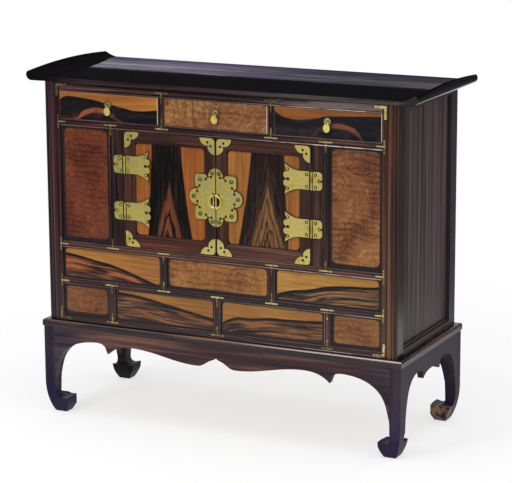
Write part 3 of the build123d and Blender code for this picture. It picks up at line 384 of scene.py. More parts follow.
# toward the corners the aprons take the colour of the legs; their right ends are lighter than their left
# ends, painted light and shade as on the legs
apronTints = {"middle": (1.16, 1.16, 1.14), "leftEnd": (0.48, 0.68, 1.15), "rightEnd": (0.96, 1.20, 1.60),
              "side": (0.92, 1.0, 1.24), "cornerX": (0.27, 0.37), "cornerZ": (0.16, 0.10)}


def apronShade(wood):
    corner = wood.most(wood.span(wood.size(wood.x), *apronTints["cornerX"]),
                       wood.span(wood.z, *apronTints["cornerZ"]))
    # right ends lighter than left ends: painted light and shade as on the legs
    end = wood.mix(wood.under(wood.x, 0.0), apronTints["rightEnd"], apronTints["leftEnd"])
    return wood.mix(corner, apronTints["middle"], end)


def sideApronShade(wood):
    return apronTints["side"]


# moulding round the stand: the grain turns at the mitres; painted highlight on the nose and painted shade in
# the dark lines across its height
mouldingLook = dict(standLook, shift=9.0, dark=(20, 12, 15), middle=(40, 26, 27), light=(118, 74, 50),
                    wearAndHighlight=(190, 176, 180), rough=0.24, specular=0.4)
mouldingParts = {"cornerX": 0.414, "cornerY": 0.171, "frontFace": -0.168, "ledgeLow": (0.2045, 0.2058),
                 "ledgeHigh": (0.2079, 0.2068), "ledgeX": (0.0, 0.26, 0.06, 0.75),
                 "side": (0.30, 0.30, 0.42), "sideX": (0.30, 0.405),
                 "left": (0.42, 0.36, 0.42), "leftX": (0.10, -0.20),
                 "nose": [(0.0, 0.25), (0.08, 0.6), (0.2, 1.05), (0.62, 1.15), (0.72, 0.7), (0.80, 1.3),
                          (0.93, 1.7), (0.985, 1.0), (1.0, 0.8)]}


def mouldingWood(name):
    wood = Finish(name)
    look, parts = mouldingLook, mouldingParts
    low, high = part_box("stand_frame")
    sideways = wood.over(wood.minus(wood.size(wood.x), parts["cornerX"]),
                         wood.minus(wood.size(wood.y), parts["cornerY"]))
    streaks = [wood.grain(along, look["across"], look["length"], look["shift"], 6.0, 0.62, 0.4)
               for along in "xy"]
    cloud = wood.cloud((3.0, 9.0, 30.0), look["shift"] + 3.0, 3.0, 0.5)
    tone = wood.blend([(wood.choose(sideways, *streaks), 0.55), (cloud, 0.45)])
    colour = wood.shades(tone, look, dark=0.40, middle=0.49, light=0.58)
    colour = wood.tint(colour, levels(wood, wood.share(wood.z, low[2], high[2]), parts["nose"]))
    # darker and bluer on the right side, and painted shade on the left part
    colour = wood.tinted(wood.times(sideways, wood.span(wood.x, *parts["sideX"])), colour, parts["side"])
    colour = wood.tinted(wood.span(wood.x, *parts["leftX"]), colour, parts["left"])
    # painted highlight along the right third of the ledge
    ledge = wood.times(wood.span(wood.z, *parts["ledgeLow"]), wood.span(wood.z, *parts["ledgeHigh"]),
                       wood.under(wood.y, parts["frontFace"]), wood.span(wood.x, *parts["ledgeX"]))
    colour = wood.mix(ledge, colour, paint(*look["wearAndHighlight"]))
    rough = wood.span(tone, 0.3, 0.7, look["rough"] - 0.06, look["rough"] + 0.08)
    return wood.finish(colour, rough, wood.bump(tone, 0.0002, 0.5), look["specular"])


# side boards: upright ribbons, near black to grey brown, with fine lines between
boardLook = {"dark": (38, 31, 30), "middle": (56, 46, 44), "light": (74, 62, 58), "pale": (98, 82, 77),
             "line": (10, 8, 9), "frontTint": (0.96, 1.02, 0.98), "rearTint": (1.38, 1.28, 1.46),
             "rearward": (-0.12, 0.10)}


def sideBoards(name, look):
    wood = Finish(name)
    broad = wood.grain("z", 95.0, 0.7, 1.0, 3.0, 0.6, 0.2)
    fine = wood.grain("z", 420.0, 1.8, 4.0, 4.0, 0.65, 0.2)
    line = wood.grain("z", 190.0, 0.6, 8.0, 1.0, 0.5)
    tone = wood.blend([(broad, 0.5), (fine, 0.5)])
    colour = wood.shades(tone, look, dark=0.42, middle=0.485, light=0.545, pale=0.60)
    dirt = wood.span(wood.apart(line, 0.5), 0.03, 0.008)
    colour = wood.mix(wood.times(dirt, 0.8), colour, paint(*look["line"]))
    # lighter and purpler toward the rear: painted light
    rearward = wood.span(wood.y, *look["rearward"])
    colour = wood.tint(colour, wood.mix(rearward, look["frontTint"], look["rearTint"]))
    rough = wood.span(tone, 0.35, 0.65, 0.34, 0.5)
    return wood.finish(colour, rough, wood.bump(wood.minus(tone, dirt), 0.0006, 0.6), 0.3)


finishes = {
    "frameZ": plainWood("frameWoodUpright", "z", frameLook, uprightShade(dividerPairs)),
    "stileZ": plainWood("hingeStileWood", "z", stileLook, uprightShade(stilePairs)),
    "frameY": plainWood("frameWoodCrosswise", "y", sideLook),
    "postLeft": plainWood("postWoodLeft", "z", postLeftLook, postShade),
    "postRight": plainWood("postWoodRight", "z", postLook, postShade),
    "side": sideBoards("sideBoardWood", boardLook),
    "rear": plainWood("rearPostWood", "z", rearLook),
    "moulding": mouldingWood("standMouldingWood"),
    "standX": plainWood("standWoodLengthwise", "x", standLook, apronShade),
    "standY": plainWood("standWoodCrosswise", "y", legLook, sideApronShade),
    "leg": plainWood("legWood", "z", legLook, legShade, toeWearMask),
    "insideX": plainWood("insideWoodLengthwise", "x", insideLook),
    "insideY": plainWood("insideWoodCrosswise", "y", insideLook),
    "back": plainWood("backBoardWood", "x", backLook, jointShade),
}
for rail in gleamShares:
    look = topRailWood if rail == "rail_top" else frameLook
    finishes[rail] = plainWood(rail + "Wood", "x", look, railShade(rail), railGleam(rail))
print("plain woods made", len(finishes))

# top: near-black lacquered wood, its front edge painted as lit brown wood, greyer toward the right: painted
# light
topLook = {"dark": (9, 8, 10), "middle": (13, 12, 14), "light": (22, 19, 23), "rough": 0.016,
           "specular": 0.42, "edgeLeft": (56, 40, 42), "edgeRight": (64, 60, 60), "fibre": (0.45, 0.42, 0.42),
           "edgeDepth": 0.0002, "edgeTone": (-0.05, 0.20), "leftEnd": (-0.41, -0.30),
           "rightEnd": (0.425, 0.395, 0.35, 1.0)}


def lacqueredWood(name, along):
    wood = Finish(name)
    streak = wood.grain(along, 90.0, 2.2, 1.0, 5.0, 0.6, 0.3)
    colour = wood.shades(streak, topLook, dark=0.3, middle=0.52, light=0.75)
    # painted light on the front edge of the top
    front = wood.under(wood.y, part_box("top_board")[0][1] + topLook["edgeDepth"])
    fibre = wood.grain("x", 500.0, 6.0, 2.0, 3.0, 0.6)
    tone = wood.span(wood.x, *topLook["edgeTone"])
    edge = wood.mix(tone, paint(*topLook["edgeLeft"]), paint(*topLook["edgeRight"]))
    edge = wood.tinted(wood.span(fibre, 0.56, 0.42), edge, topLook["fibre"])
    ends = wood.times(wood.span(wood.x, *topLook["leftEnd"]), wood.span(wood.x, *topLook["rightEnd"]))
    colour = wood.mix(wood.times(front, ends), colour, edge)
    rough = wood.span(streak, 0.3, 0.7, topLook["rough"], topLook["rough"] + 0.02)
    return wood.finish(colour, rough, wood.bump(streak, 0.00001, 0.5), topLook["specular"])


finishes["topX"] = lacqueredWood("topWoodLengthwise", "x")
finishes["topY"] = lacqueredWood("topWoodCrosswise", "y")


# boards with a light field inside a dark border
def fieldMask(wood, field, radius, soft=0.0012):
    # 1 inside a rectangle with rounded corners, 0 outside; field is left, right, bottom, top in metres
    left, right, low, high = field
    outX = wood.minus(wood.apart(wood.x, (left + right) / 2), (right - left) / 2 - radius)
    outZ = wood.minus(wood.apart(wood.z, (low + high) / 2), (high - low) / 2 - radius)
    corner = wood.distance(wood.most(outX, 0.0), wood.most(outZ, 0.0))
    inner = wood.least(wood.most(outX, outZ), 0.0)
    return wood.span(wood.minus(wood.plus(corner, inner), radius), soft, -soft)


def blackBorder(wood, along, light):
    streak = wood.grain(along, 160.0, 5.0, 0.0, 5.0, 0.6)
    return wood.ramp(streak, [(0.36, paint(12, 9, 11)), (0.62, paint(*light))])


def burlColour(wood, look, shift):
    # burl: cloudy change, curling dark lines like rings round a knot, small eyes, fine fibre across the board
    bend = wood.cloud((13.0, 13.0, 10.0), shift, 3.0, 0.55, 0.6)
    swirl = wood.cloud((62.0, 62.0, 74.0), shift + 4.0, 5.0, 0.62, 2.2)
    fibre = wood.cloud((40.0, 40.0, 420.0), shift + 6.0, 3.0, 0.5, 1.2)
    eyes = wood.cloud((150.0, 150.0, 180.0), shift + 9.0, 2.0, 0.5)
    centre = (-look["whorl"][0], 0.159, -look["whorl"][1])
    whorl = wood.node("ShaderNodeMapping", {0: wood.place, "Location": centre})
    curls = wood.node("ShaderNodeTexWave", {
        "Vector": whorl.outputs[0], "Scale": look["curl"], "Distortion": 11.0, "Detail": 2.0,
        "Detail Scale": 0.5, "Detail Roughness": 0.45}, wave_type="RINGS")
    tone = wood.blend([(swirl, 0.55), (bend, 0.45)])
    tone = wood.plus(tone, wood.times(wood.minus(fibre, 0.5), look["fibre"]))
    colour = wood.shades(tone, look, dark=0.38, middle=0.47, light=0.55, pale=0.64)
    knots = wood.span(bend, look["knots"] + 0.06, look["knots"] - 0.08)
    vein = wood.times(wood.span(curls.outputs["Fac"], 0.45, 0.05), wood.plus(wood.times(knots, 0.65), 0.35))
    colour = wood.mix(wood.times(vein, look["vein"]), colour, paint(*look["eye"]))
    spots = wood.times(wood.span(eyes, 0.62, 0.70), knots)
    return wood.mix(wood.times(spots, 0.7), colour, paint(*look["eye"])), tone


sideBurlLook = {
    "left": {"field": (-0.3565, -0.2545, 0.3925, 0.6245), "dark": (64, 26, 14), "middle": (90, 40, 21),
             "light": (104, 50, 26), "pale": (124, 64, 33), "eye": (44, 17, 12), "vein": 0.6, "curl": 26.0,
             "knots": 0.47, "fibre": 0.07, "whorl": (-0.312, 0.530), "shift": 2.0},
    "right": {"field": (0.2575, 0.3595, 0.3925, 0.6245), "dark": (76, 40, 20), "middle": (106, 61, 33),
              "light": (122, 76, 42), "pale": (144, 98, 58), "eye": (58, 30, 20), "vein": 0.6, "curl": 26.0,
              "knots": 0.5, "fibre": 0.07, "whorl": (0.318, 0.505), "shift": 31.0,
              "lower": (1.30, 1.42, 1.28)},
    "radius": 0.011, "border": (36, 30, 34), "lowerZ": (0.53, 0.45),
}


def sideBurl(name, side):
    wood = Finish(name)
    look = sideBurlLook[side]
    colour, tone = burlColour(wood, look, look["shift"])
    if "lower" in look:
        colour = wood.tinted(wood.span(wood.z, *sideBurlLook["lowerZ"]), colour, look["lower"])
    mask = fieldMask(wood, look["field"], sideBurlLook["radius"])
    colour = wood.mix(mask, blackBorder(wood, "z", sideBurlLook["border"]), colour)
    return wood.finish(colour, 0.3, wood.bump(tone, 0.0002, 0.35), 0.3)


finishes["burlLeft"] = sideBurl("burlBoardLeft", "left")
finishes["burlRight"] = sideBurl("burlBoardRight", "right")

smallBurlLook = {"dark": (110, 66, 32), "middle": (136, 88, 42), "light": (152, 104, 50),
                 "pale": (174, 128, 66), "eye": (76, 44, 24), "vein": 0.5, "curl": 24.0, "knots": 0.46,
                 "fibre": 0.06, "whorl": (0.02, 0.33)}
smallBurlParts = {"radius": 0.008, "border": (44, 32, 30),
                  "fields": [(-0.3595, -0.2610, 0.2285, 0.2835), (-0.1115, 0.1125, 0.3085, 0.3645),
                             (0.2625, 0.3605, 0.2285, 0.2845)],
                  "leftTint": (0.54, 0.44, 0.46), "rightTint": (0.74, 0.70, 0.86), "centreReach": 0.2}


def smallBurls(name):
    wood = Finish(name)
    parts = smallBurlParts
    colour, tone = burlColour(wood, smallBurlLook, 17.0)
    fields = wood.most(*[fieldMask(wood, field, parts["radius"]) for field in parts["fields"]])
    colour = wood.tinted(wood.under(wood.x, -parts["centreReach"]), colour, parts["leftTint"])
    colour = wood.tinted(wood.over(wood.x, parts["centreReach"]), colour, parts["rightTint"])
    colour = wood.mix(fields, blackBorder(wood, "x", parts["border"]), colour)
    return wood.finish(colour, 0.28, wood.bump(tone, 0.0002, 0.35), 0.3)


finishes["burlRow"] = smallBurls("burlBoardsSmall")
print("burl boards made")

# orange wood with black heartwood figure, bounded by a curve
figureLook = {"pale": (172, 120, 54), "orange": (144, 94, 42), "deep": (114, 68, 32), "red": (124, 80, 46),
              "brown": (80, 52, 36), "black": (11, 9, 12), "slate": (40, 31, 30), "rough": 0.24,
              "redder": (0.94, 0.74, 0.62)}


def lightWood(wood, shift, along="x"):
    streak = wood.grain(along, 230.0, 7.0, shift, 5.0, 0.6, 0.5)
    cloud = wood.grain(along, 26.0, 5.0, shift + 2.0, 3.0, 0.5, 0.6)
    tone = wood.blend([(streak, 0.5), (cloud, 0.5)])
    return wood.shades(tone, figureLook, deep=0.34, orange=0.5, pale=0.66)


def boardShares(wood, board, clampUp=False):
    # how far across and how far up a board, from 0 to 1
    left, right, low, high = board
    return wood.share(wood.x, left, right), wood.share(wood.z, low, high, clampUp)


# board is left, right, bottom, top; edge is the line where the dark heart begins, in shares of the board
rowSplit = 0.295
rowFigures = {
    "upperLeft": {
        "board": (-0.365, -0.1317, 0.3025, 0.3675), "field": (-0.3600, -0.1345, 0.3065, 0.3655), "shift": 3.0,
        "edge": [(0.0, 0.84), (0.1, 0.80), (0.3, 0.68), (0.5, 0.56), (0.7, 0.37), (0.85, 0.19), (1.0, 0.02)],
        "slope": 0.3, "tint": white, "heart": (1.55, 1.12, 0.85)},
    "lowerLeft": {
        "board": (-0.2405, -0.0075, 0.221, 0.2875), "field": (-0.2360, -0.0115, 0.2250, 0.2855),
        "shift": 10.0, "edge": [(0.0, 0.93), (0.28, 0.85), (0.54, 0.69), (0.8, 0.53), (1.0, 0.40)],
        "slope": 0.3, "tint": (0.86, 0.86, 0.76), "heart": (1.15, 1.08, 1.05)},
    "lowerRight": {
        "board": (0.0075, 0.2405, 0.221, 0.2875), "field": (0.0115, 0.2360, 0.2250, 0.2855), "shift": 17.0,
        "edge": [(0.0, 0.28), (0.09, 0.47), (0.17, 0.55), (0.3, 0.57), (0.46, 0.65), (0.64, 0.67),
                 (0.8, 0.69), (1.0, 0.74)],
        "slope": -0.15, "tint": (0.90, 0.92, 0.80), "heart": (1.12, 1.06, 1.05)},
    "upperRight": {
        "board": (0.1317, 0.365, 0.3025, 0.3675), "field": (0.1360, 0.3585, 0.3065, 0.3655), "shift": 24.0,
        "edge": [(0.0, 0.2), (0.15, 0.37), (0.32, 0.47), (0.52, 0.64), (0.73, 0.715), (0.94, 0.76),
                 (1.0, 0.82)],
        "slope": -0.15, "tint": (1.12, 1.34, 1.25), "heart": white},
}
rowLook = {"along": 9.0, "across": 8.5, "rim": 0.055, "radius": 0.007, "border": (30, 25, 27)}


def rowBoard(wood, figure):
    across, up = boardShares(wood, figure["board"])
    ripple = wood.grain("x", 60.0, 16.0, figure["shift"], 3.0, 0.5)
    depth = wood.minus(wood.minus(wood.curve(across, figure["edge"]), up),
                       wood.times(wood.minus(ripple, 0.5), 0.05))
    # streaks follow the edge of the heart and slope away from it
    flow = wood.pair(wood.times(wood.x, rowLook["along"]), figure["shift"],
                     wood.times(wood.plus(depth, wood.times(across, figure["slope"])), rowLook["across"]))
    bands = wood.noise(flow, 3.0, 0.55, 0.5)
    fine = wood.grain("x", 420.0, 9.0, figure["shift"], 4.0, 0.6)
    heart = wood.shades(wood.plus(bands, wood.times(wood.minus(fine, 0.5), 0.25)), figureLook,
                        black=0.36, slate=0.43, brown=0.51, red=0.60)
    rim = wood.span(depth, rowLook["rim"] + 0.10, rowLook["rim"])
    heart = wood.mix(rim, wood.tint(heart, figure["heart"]), paint(*figureLook["black"]))
    colour = wood.mix(wood.span(depth, -0.012, 0.022), lightWood(wood, figure["shift"]), heart)
    colour = wood.tint(colour, figure["tint"])
    mask = fieldMask(wood, figure["field"], rowLook["radius"])
    return wood.mix(mask, paint(*rowLook["border"]), colour), bands


def figuredRows(name):
    wood = Finish(name)
    boards = {spot: rowBoard(wood, figure) for spot, figure in rowFigures.items()}
    left = wood.under(wood.x, 0.0)
    upper = wood.mix(left, boards["upperRight"][0], boards["upperLeft"][0])
    lower = wood.mix(left, boards["lowerRight"][0], boards["lowerLeft"][0])
    colour = wood.mix(wood.under(wood.z, rowSplit), upper, lower)
    return wood.finish(colour, figureLook["rough"], wood.bump(boards["upperRight"][1], 0.0002, 0.3), 0.3)


finishes["figuredRow"] = figuredRows("figuredBoards")

# drawer fronts: edge as above; arch is the upper line of a pale arc in the dark wood
drawerFigures = {
    "left": {
        "board": (-0.3643, -0.1324, 0.6456, 0.7012),
        "edge": [(0.0, 0.70), (0.04, 0.79), (0.09, 0.845), (0.2, 0.82), (0.35, 0.76), (0.55, 0.61),
                 (0.66, 0.525), (0.76, 0.455), (0.87, 0.47), (1.0, 0.545)],
        "arch": [(0.0, 0.0), (0.17, 0.02), (0.22, 0.24), (0.30, 0.40), (0.38, 0.46), (0.46, 0.44),
                 (0.54, 0.30), (0.60, 0.10), (0.66, 0.0), (1.0, 0.0)],
        "thick": 0.17, "cloud": (58, 34, 27), "clouds": (0.66, 0.56), "fade": (0.58, 0.44, 0.30, 1.0),
        "arc": (128, 70, 44), "red": 0.55, "tint": (1.06, 1.06, 1.0), "shift": 3.0},
    "right": {
        "board": (0.1324, 0.3643, 0.6456, 0.7012),
        "edge": [(0.0, 0.92), (0.03, 0.76), (0.1, 0.65), (0.2, 0.60), (0.31, 0.63), (0.41, 0.70),
                 (0.475, 0.775), (0.6, 0.80), (0.7, 0.84), (0.81, 0.875), (1.0, 0.91)],
        "arch": [(0.0, 0.0), (0.34, 0.02), (0.39, 0.26), (0.47, 0.42), (0.55, 0.53), (0.63, 0.53),
                 (0.71, 0.46), (0.77, 0.33), (0.81, 0.12), (0.84, 0.0), (1.0, 0.0)],
        "thick": 0.16, "cloud": (36, 35, 41), "clouds": (1.4, 1.2), "fade": (0.46, 0.60, 0.16, 0.9),
        "arc": (112, 64, 42), "red": 0.75, "tint": (0.74, 0.68, 0.62), "shift": 9.0},
}
edgeLine = {"width": 0.0013, "colour": (206, 184, 150), "top": 0.12, "left": 0.2}


def paleEdges(wood, board, colour, strength):
    # a thin painted highlight at the edges of a drawer front, strongest at its right edge
    left, right, low, high = board
    width = edgeLine["width"]
    topLine = wood.times(wood.over(wood.z, high - width * 0.6), edgeLine["top"])
    leftLine = wood.times(wood.under(wood.x, left + width * 0.4), edgeLine["left"])
    amount = wood.most(wood.over(wood.x, right - width), wood.most(topLine, leftLine))
    return wood.mix(wood.times(amount, strength), colour, paint(*edgeLine["colour"]))


def figuredDrawer(name, side):
    wood = Finish(name)
    figure = drawerFigures[side]
    across, up = boardShares(wood, figure["board"])
    ripple = wood.times(wood.minus(wood.grain("x", 70.0, 22.0, 0.0, 4.0, 0.5), 0.5), 0.06)
    depth = wood.minus(wood.minus(wood.curve(across, figure["edge"]), up), ripple)
    archDepth = wood.minus(wood.minus(wood.curve(across, figure["arch"]), up), wood.times(ripple, 1.5))
    sheen = wood.grain("x", 60.0, 9.0, 5.0, 4.0, 0.6, 0.6)
    cloud = wood.cloud((22.0, 22.0, 60.0), 2.0, 3.0, 0.55, 0.8)
    heart = wood.ramp(sheen, [(0.35, paint(*figureLook["black"])), (0.58, paint(20, 19, 24)),
                              (0.76, paint(48, 34, 31))])
    mist = wood.times(wood.span(up, 0.5, 0.1), wood.span(cloud, 0.46, 0.62),
                      wood.span(across, *figure["clouds"]))
    heart = wood.mix(wood.times(mist, 0.7), heart, paint(*figure["cloud"]))
    arc = wood.times(wood.span(archDepth, -0.04, 0.03),
                     wood.span(archDepth, figure["thick"] + 0.06, figure["thick"] - 0.04),
                     wood.span(cloud, 0.34, 0.50, 0.35, 1.0), wood.span(across, *figure["fade"]))
    heart = wood.mix(arc, heart, paint(*figure["arc"]))
    light = wood.tinted(figure["red"], lightWood(wood, figure["shift"]), figureLook["redder"])
    light = wood.tint(light, figure["tint"])
    colour = wood.mix(wood.span(depth, -0.014, 0.018), light, heart)
    colour = paleEdges(wood, figure["board"], colour, 0.8)
    return wood.finish(colour, figureLook["rough"], wood.bump(sheen, 0.0002, 0.3), 0.3)


burlDrawerLook = dict(smallBurlLook, dark=(86, 50, 32), middle=(114, 70, 38), light=(136, 90, 48),
                      pale=(168, 122, 74), whorl=(0.05, 0.69), board=(-0.116, 0.116, 0.6456, 0.7012),
                      darkRibbon=(0.52, 0.50, 0.46), lightRibbon=(0.92, 0.90, 0.78),
                      ribbonsX=(0.03, -0.05))


def burlDrawer(name):
    wood = Finish(name)
    look = burlDrawerLook
    colour, tone = burlColour(wood, look, 52.0)
    # upright ribbons over the left half
    ribbons = wood.span(wood.cloud((95.0, 95.0, 7.0), 4.0, 3.0, 0.55, 0.5), 0.42, 0.58)
    ribbonTint = wood.mix(ribbons, look["darkRibbon"], look["lightRibbon"])
    colour = wood.tinted(wood.span(wood.x, *look["ribbonsX"]), colour, ribbonTint)
    colour = paleEdges(wood, look["board"], colour, 0.9)
    return wood.finish(colour, 0.32, wood.bump(tone, 0.0002, 0.35), 0.3)


finishes["drawerLeft"] = figuredDrawer("drawerWoodLeft", "left")
finishes["drawerRight"] = figuredDrawer("drawerWoodRight", "right")
finishes["drawerCentre"] = burlDrawer("drawerWoodCentre")

# door panels: orange wood, a dark wedge wider at the foot, and nested pointed flames in it;
# a wedge edge is (share up the board, share across it), a flame is (share of the nesting, colour)
doorFigures = {
    "left": {
        "board": (-0.1870, -0.0262, 0.4105, 0.6045), "field": (-0.1860, -0.0272, 0.4115, 0.6035),
        "wedgeLeft": [(0.0, 0.175), (0.5, 0.205), (0.8, 0.222), (1.0, 0.238)],
        "wedgeRight": [(0.0, 0.815), (0.3, 0.752), (0.6, 0.705), (1.0, 0.655)],
        "centre": -0.1115, "lean": 0.004, "spread": 0.052, "shift": 3.0, "redFrom": (-0.5, 0.4),
        "tint": (0.86, 0.80, 0.82),
        "flame": [(0.0, (104, 58, 32)), (0.05, (20, 14, 14)), (0.12, (18, 13, 14)), (0.16, (112, 62, 34)),
                  (0.22, (104, 56, 34)), (0.27, (16, 12, 14)), (0.34, (22, 16, 16)), (0.39, (106, 58, 34)),
                  (0.50, (92, 50, 32)), (0.60, (34, 22, 20)), (0.68, (12, 10, 12)), (0.80, (24, 18, 18)),
                  (0.88, (10, 8, 10)), (1.0, (15, 12, 14))]},
    "right": {
        "board": (0.0262, 0.1870, 0.4105, 0.6045), "field": (0.0272, 0.1860, 0.4115, 0.6035),
        "wedgeLeft": [(0.0, 0.147), (0.3, 0.215), (0.6, 0.275), (1.0, 0.330)],
        "wedgeRight": [(0.0, 0.842), (0.4, 0.818), (1.0, 0.785)],
        "centre": 0.1150, "lean": 0.0, "spread": 0.056, "shift": 8.0, "redFrom": (0.6, 1.4),
        "tint": (1.0, 0.98, 0.98),
        "flame": [(0.0, (130, 92, 50)), (0.07, (96, 68, 42)), (0.11, (24, 19, 18)), (0.15, (28, 22, 20)),
                  (0.19, (116, 80, 46)), (0.26, (100, 70, 42)), (0.30, (26, 20, 19)), (0.35, (124, 88, 50)),
                  (0.46, (104, 72, 42)), (0.50, (40, 30, 25)), (0.56, (122, 86, 50)), (0.66, (92, 64, 40)),
                  (0.72, (34, 26, 23)), (0.78, (66, 46, 33)), (0.85, (16, 13, 15)), (0.92, (54, 37, 28)),
                  (1.0, (30, 22, 20))]},
}
doorPanelLook = {"reach": 0.8, "darkFibre": (11, 9, 12), "paleFibre": (84, 60, 44), "border": (46, 26, 22)}


def doorWood(name, side):
    wood = Finish(name)
    figure, look = doorFigures[side], doorPanelLook
    across, up = boardShares(wood, figure["board"], clampUp=True)
    wave = wood.minus(wood.grain("z", 40.0, 12.0, 0.0, 3.0, 0.5), 0.5)
    spot = wood.plus(across, wood.times(wave, 0.04))
    wedge = wood.times(
        wood.span(wood.minus(spot, wood.curve(up, figure["wedgeLeft"])), -0.010, 0.010),
        wood.span(wood.minus(spot, wood.curve(up, figure["wedgeRight"])), 0.010, -0.010))
    middle = wood.plus(figure["centre"], wood.times(up, figure["lean"]))
    aside = wood.apart(wood.plus(wood.x, wood.times(wave, 0.016)), middle)
    arch = wood.plus(up, wood.calc("DIVIDE", aside, figure["spread"]))
    flow = wood.pair(wood.times(wood.x, 70.0), figure["shift"], wood.times(arch, 5.0))
    nested = wood.noise(flow, 4.0, 0.6, 0.3)
    place = wood.plus(arch, wood.times(wood.minus(nested, 0.5), 0.42))
    flames = [(share * look["reach"], paint(*shade)) for share, shade in figure["flame"]]
    dark = wood.ramp(wood.times(place, look["reach"]), flames)
    fibre = wood.grain("z", 520.0, 9.0, figure["shift"], 4.0, 0.6)
    dark = wood.mix(wood.times(wood.span(fibre, 0.50, 0.62), 0.6), dark, paint(*look["darkFibre"]))
    dark = wood.mix(wood.times(wood.span(fibre, 0.44, 0.36), 0.35), dark, paint(*look["paleFibre"]))
    light = lightWood(wood, figure["shift"] + 18.0, "z")
    light = wood.tinted(wood.span(across, *figure["redFrom"]), light, figureLook["redder"])
    light = wood.tint(light, figure["tint"])
    colour = wood.mix(wedge, light, dark)
    mask = fieldMask(wood, figure["field"], 0.009, 0.0010)
    colour = wood.mix(mask, paint(*look["border"]), colour)
    return wood.finish(colour, figureLook["rough"], wood.bump(fibre, 0.0002, 0.3), 0.2)


# mitred door frame: the grain turns with each member, the lowest rails are lighter, on the right door as
# painted sheen
doorFrame = {"inner": 0.0012, "outer": 0.2120, "low": 0.3833, "high": 0.6277,
             "railZ": (0.412, 0.406), "mitre": 0.0012,
             "dark": (28, 13, 11), "middle": (50, 25, 19), "light": (82, 46, 31), "joint": (24, 14, 13),
             "left": (2.0, 1.75, 1.2), "right": (2.5, 3.0, 3.1)}


def doorFrameWood(name, side):
    wood = Finish(name)
    look = doorFrame
    reach = wood.size(wood.x)
    toSide = wood.least(wood.minus(reach, look["inner"]), wood.minus(look["outer"], reach))
    toEnd = wood.least(wood.minus(wood.z, look["low"]), wood.minus(look["high"], wood.z))
    upright = wood.under(toSide, toEnd)
    tones = [wood.blend([(wood.grain(along, 170.0, 5.0, 9.0, 6.0, 0.62, 0.4), 0.6),
                         (wood.grain(along, 24.0, 3.0, 12.0, 3.0, 0.5), 0.4)]) for along in "xz"]
    tone = wood.choose(upright, *tones)
    colour = wood.shades(tone, look, dark=0.36, middle=0.49, light=0.62)
    # lighter lowest rails: painted sheen on the right door
    lowest = wood.times(wood.span(wood.z, *look["railZ"]), wood.minus(1.0, upright))
    colour = wood.tinted(lowest, colour, look[side])
    mitre = wood.minus(1.0, wood.span(wood.apart(toSide, toEnd), 0.0, look["mitre"]))
    colour = wood.mix(wood.times(mitre, 0.6), colour, paint(*look["joint"]))
    return wood.finish(colour, 0.32, wood.bump(tone, 0.0003, 0.5), 0.3)


for side in sides:
    finishes["door" + side.title()] = doorWood("doorPanelWood" + side.title(), side)
    finishes["doorFrame" + side.title()] = doorFrameWood("doorFrameWood" + side.title(), side)
print("figured boards made")

# brass: aged, with cloudy tarnish, small dark specks and rubbed bright places
brassLook = {"bright": (255, 250, 168), "body": (244, 226, 124), "tarnish": (196, 172, 84),
             "speck": (60, 46, 26), "specks": 0.3, "rough": 0.34, "metal": 1.0}


def agedBrass(name, mark=None, **changes):
    look = dict(brassLook, **changes)
    brass = Finish(name)
    mottle = brass.cloud(300.0, 7.0, 4.0, 0.6)
    tone = brass.blend([(brass.cloud(42.0, 4.0, 5.0, 0.6, 0.6), 0.78), (mottle, 0.22)])
    colour = brass.shades(tone, look, tarnish=0.36, body=0.50, bright=0.62)
    dots = brass.times(brass.span(brass.cloud(420.0, 13.0, 2.0, 0.5), 0.62, 0.70), look["specks"])
    colour = brass.mix(dots, colour, paint(*look["speck"]))
    if mark is not None:
        colour = mark(brass, colour)
    rough = brass.span(tone, 0.3, 0.7, look["rough"] + 0.12, look["rough"] - 0.08)
    normal = brass.bump(mottle, 0.0002, 0.25)
    return brass.finish(colour, rough, normal, 0.2, look["metal"])


# marks on one kind of fitting each
hingeMark = {"from": 0.2108, "to": 0.2143, "colour": (22, 16, 12)}
rivetMark = {"middle": 0.5045, "spots": [(0.0505, 0.0), (0.0357, 0.0357), (0.0075, 0.0505)],
             "ring": (0.0030, 0.0022), "head": (0.0, 0.0012, 0.45, 0.9)}
plateWearAndHighlight = {"grime": 0.7, "bars": (0.6372, 0.3750, 0.2950), "halfBar": 0.0014, "wearAndGlint": (242, 228, 146),
            "cornerX": (0.30, 0.37), "cornerZ": (0.66, 0.70, 0.0, 0.85)}


def pinLine(brass, colour):
    # painted shade in the gap beside the hinge pin
    reach = brass.size(brass.x)
    line = brass.times(brass.over(reach, hingeMark["from"]), brass.under(reach, hingeMark["to"]))
    return brass.mix(brass.times(line, 0.97), colour, paint(*hingeMark["colour"]))


def rivetRings(brass, colour):
    # a dark ring of grime and painted shade round every rivet of the lock plates, with a dull head
    reach = brass.size(brass.x)
    rise = brass.apart(brass.z, rivetMark["middle"])
    away = [brass.distance(brass.minus(reach, x), brass.minus(rise, z)) for x, z in rivetMark["spots"]]
    nearest = brass.least(*away)
    ring = brass.times(brass.span(nearest, *rivetMark["ring"]), brass.span(nearest, *rivetMark["head"]))
    return brass.mix(ring, colour, paint(*brassLook["speck"]))


def rosetteRim(rosette):
    low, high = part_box(rosette)

    def rim(brass, colour):
        # dark rim and dark eye, grime and painted shade
        away = brass.distance(brass.minus(brass.x, (low[0] + high[0]) / 2),
                              brass.minus(brass.z, (low[2] + high[2]) / 2))
        share = brass.calc("DIVIDE", away, (high[0] - low[0]) / 2)
        dark = brass.most(brass.span(share, 0.78, 0.92), brass.span(share, 0.34, 0.26))
        return brass.mix(brass.times(dark, 0.85), colour, paint(*brassLook["speck"]))
    return rim


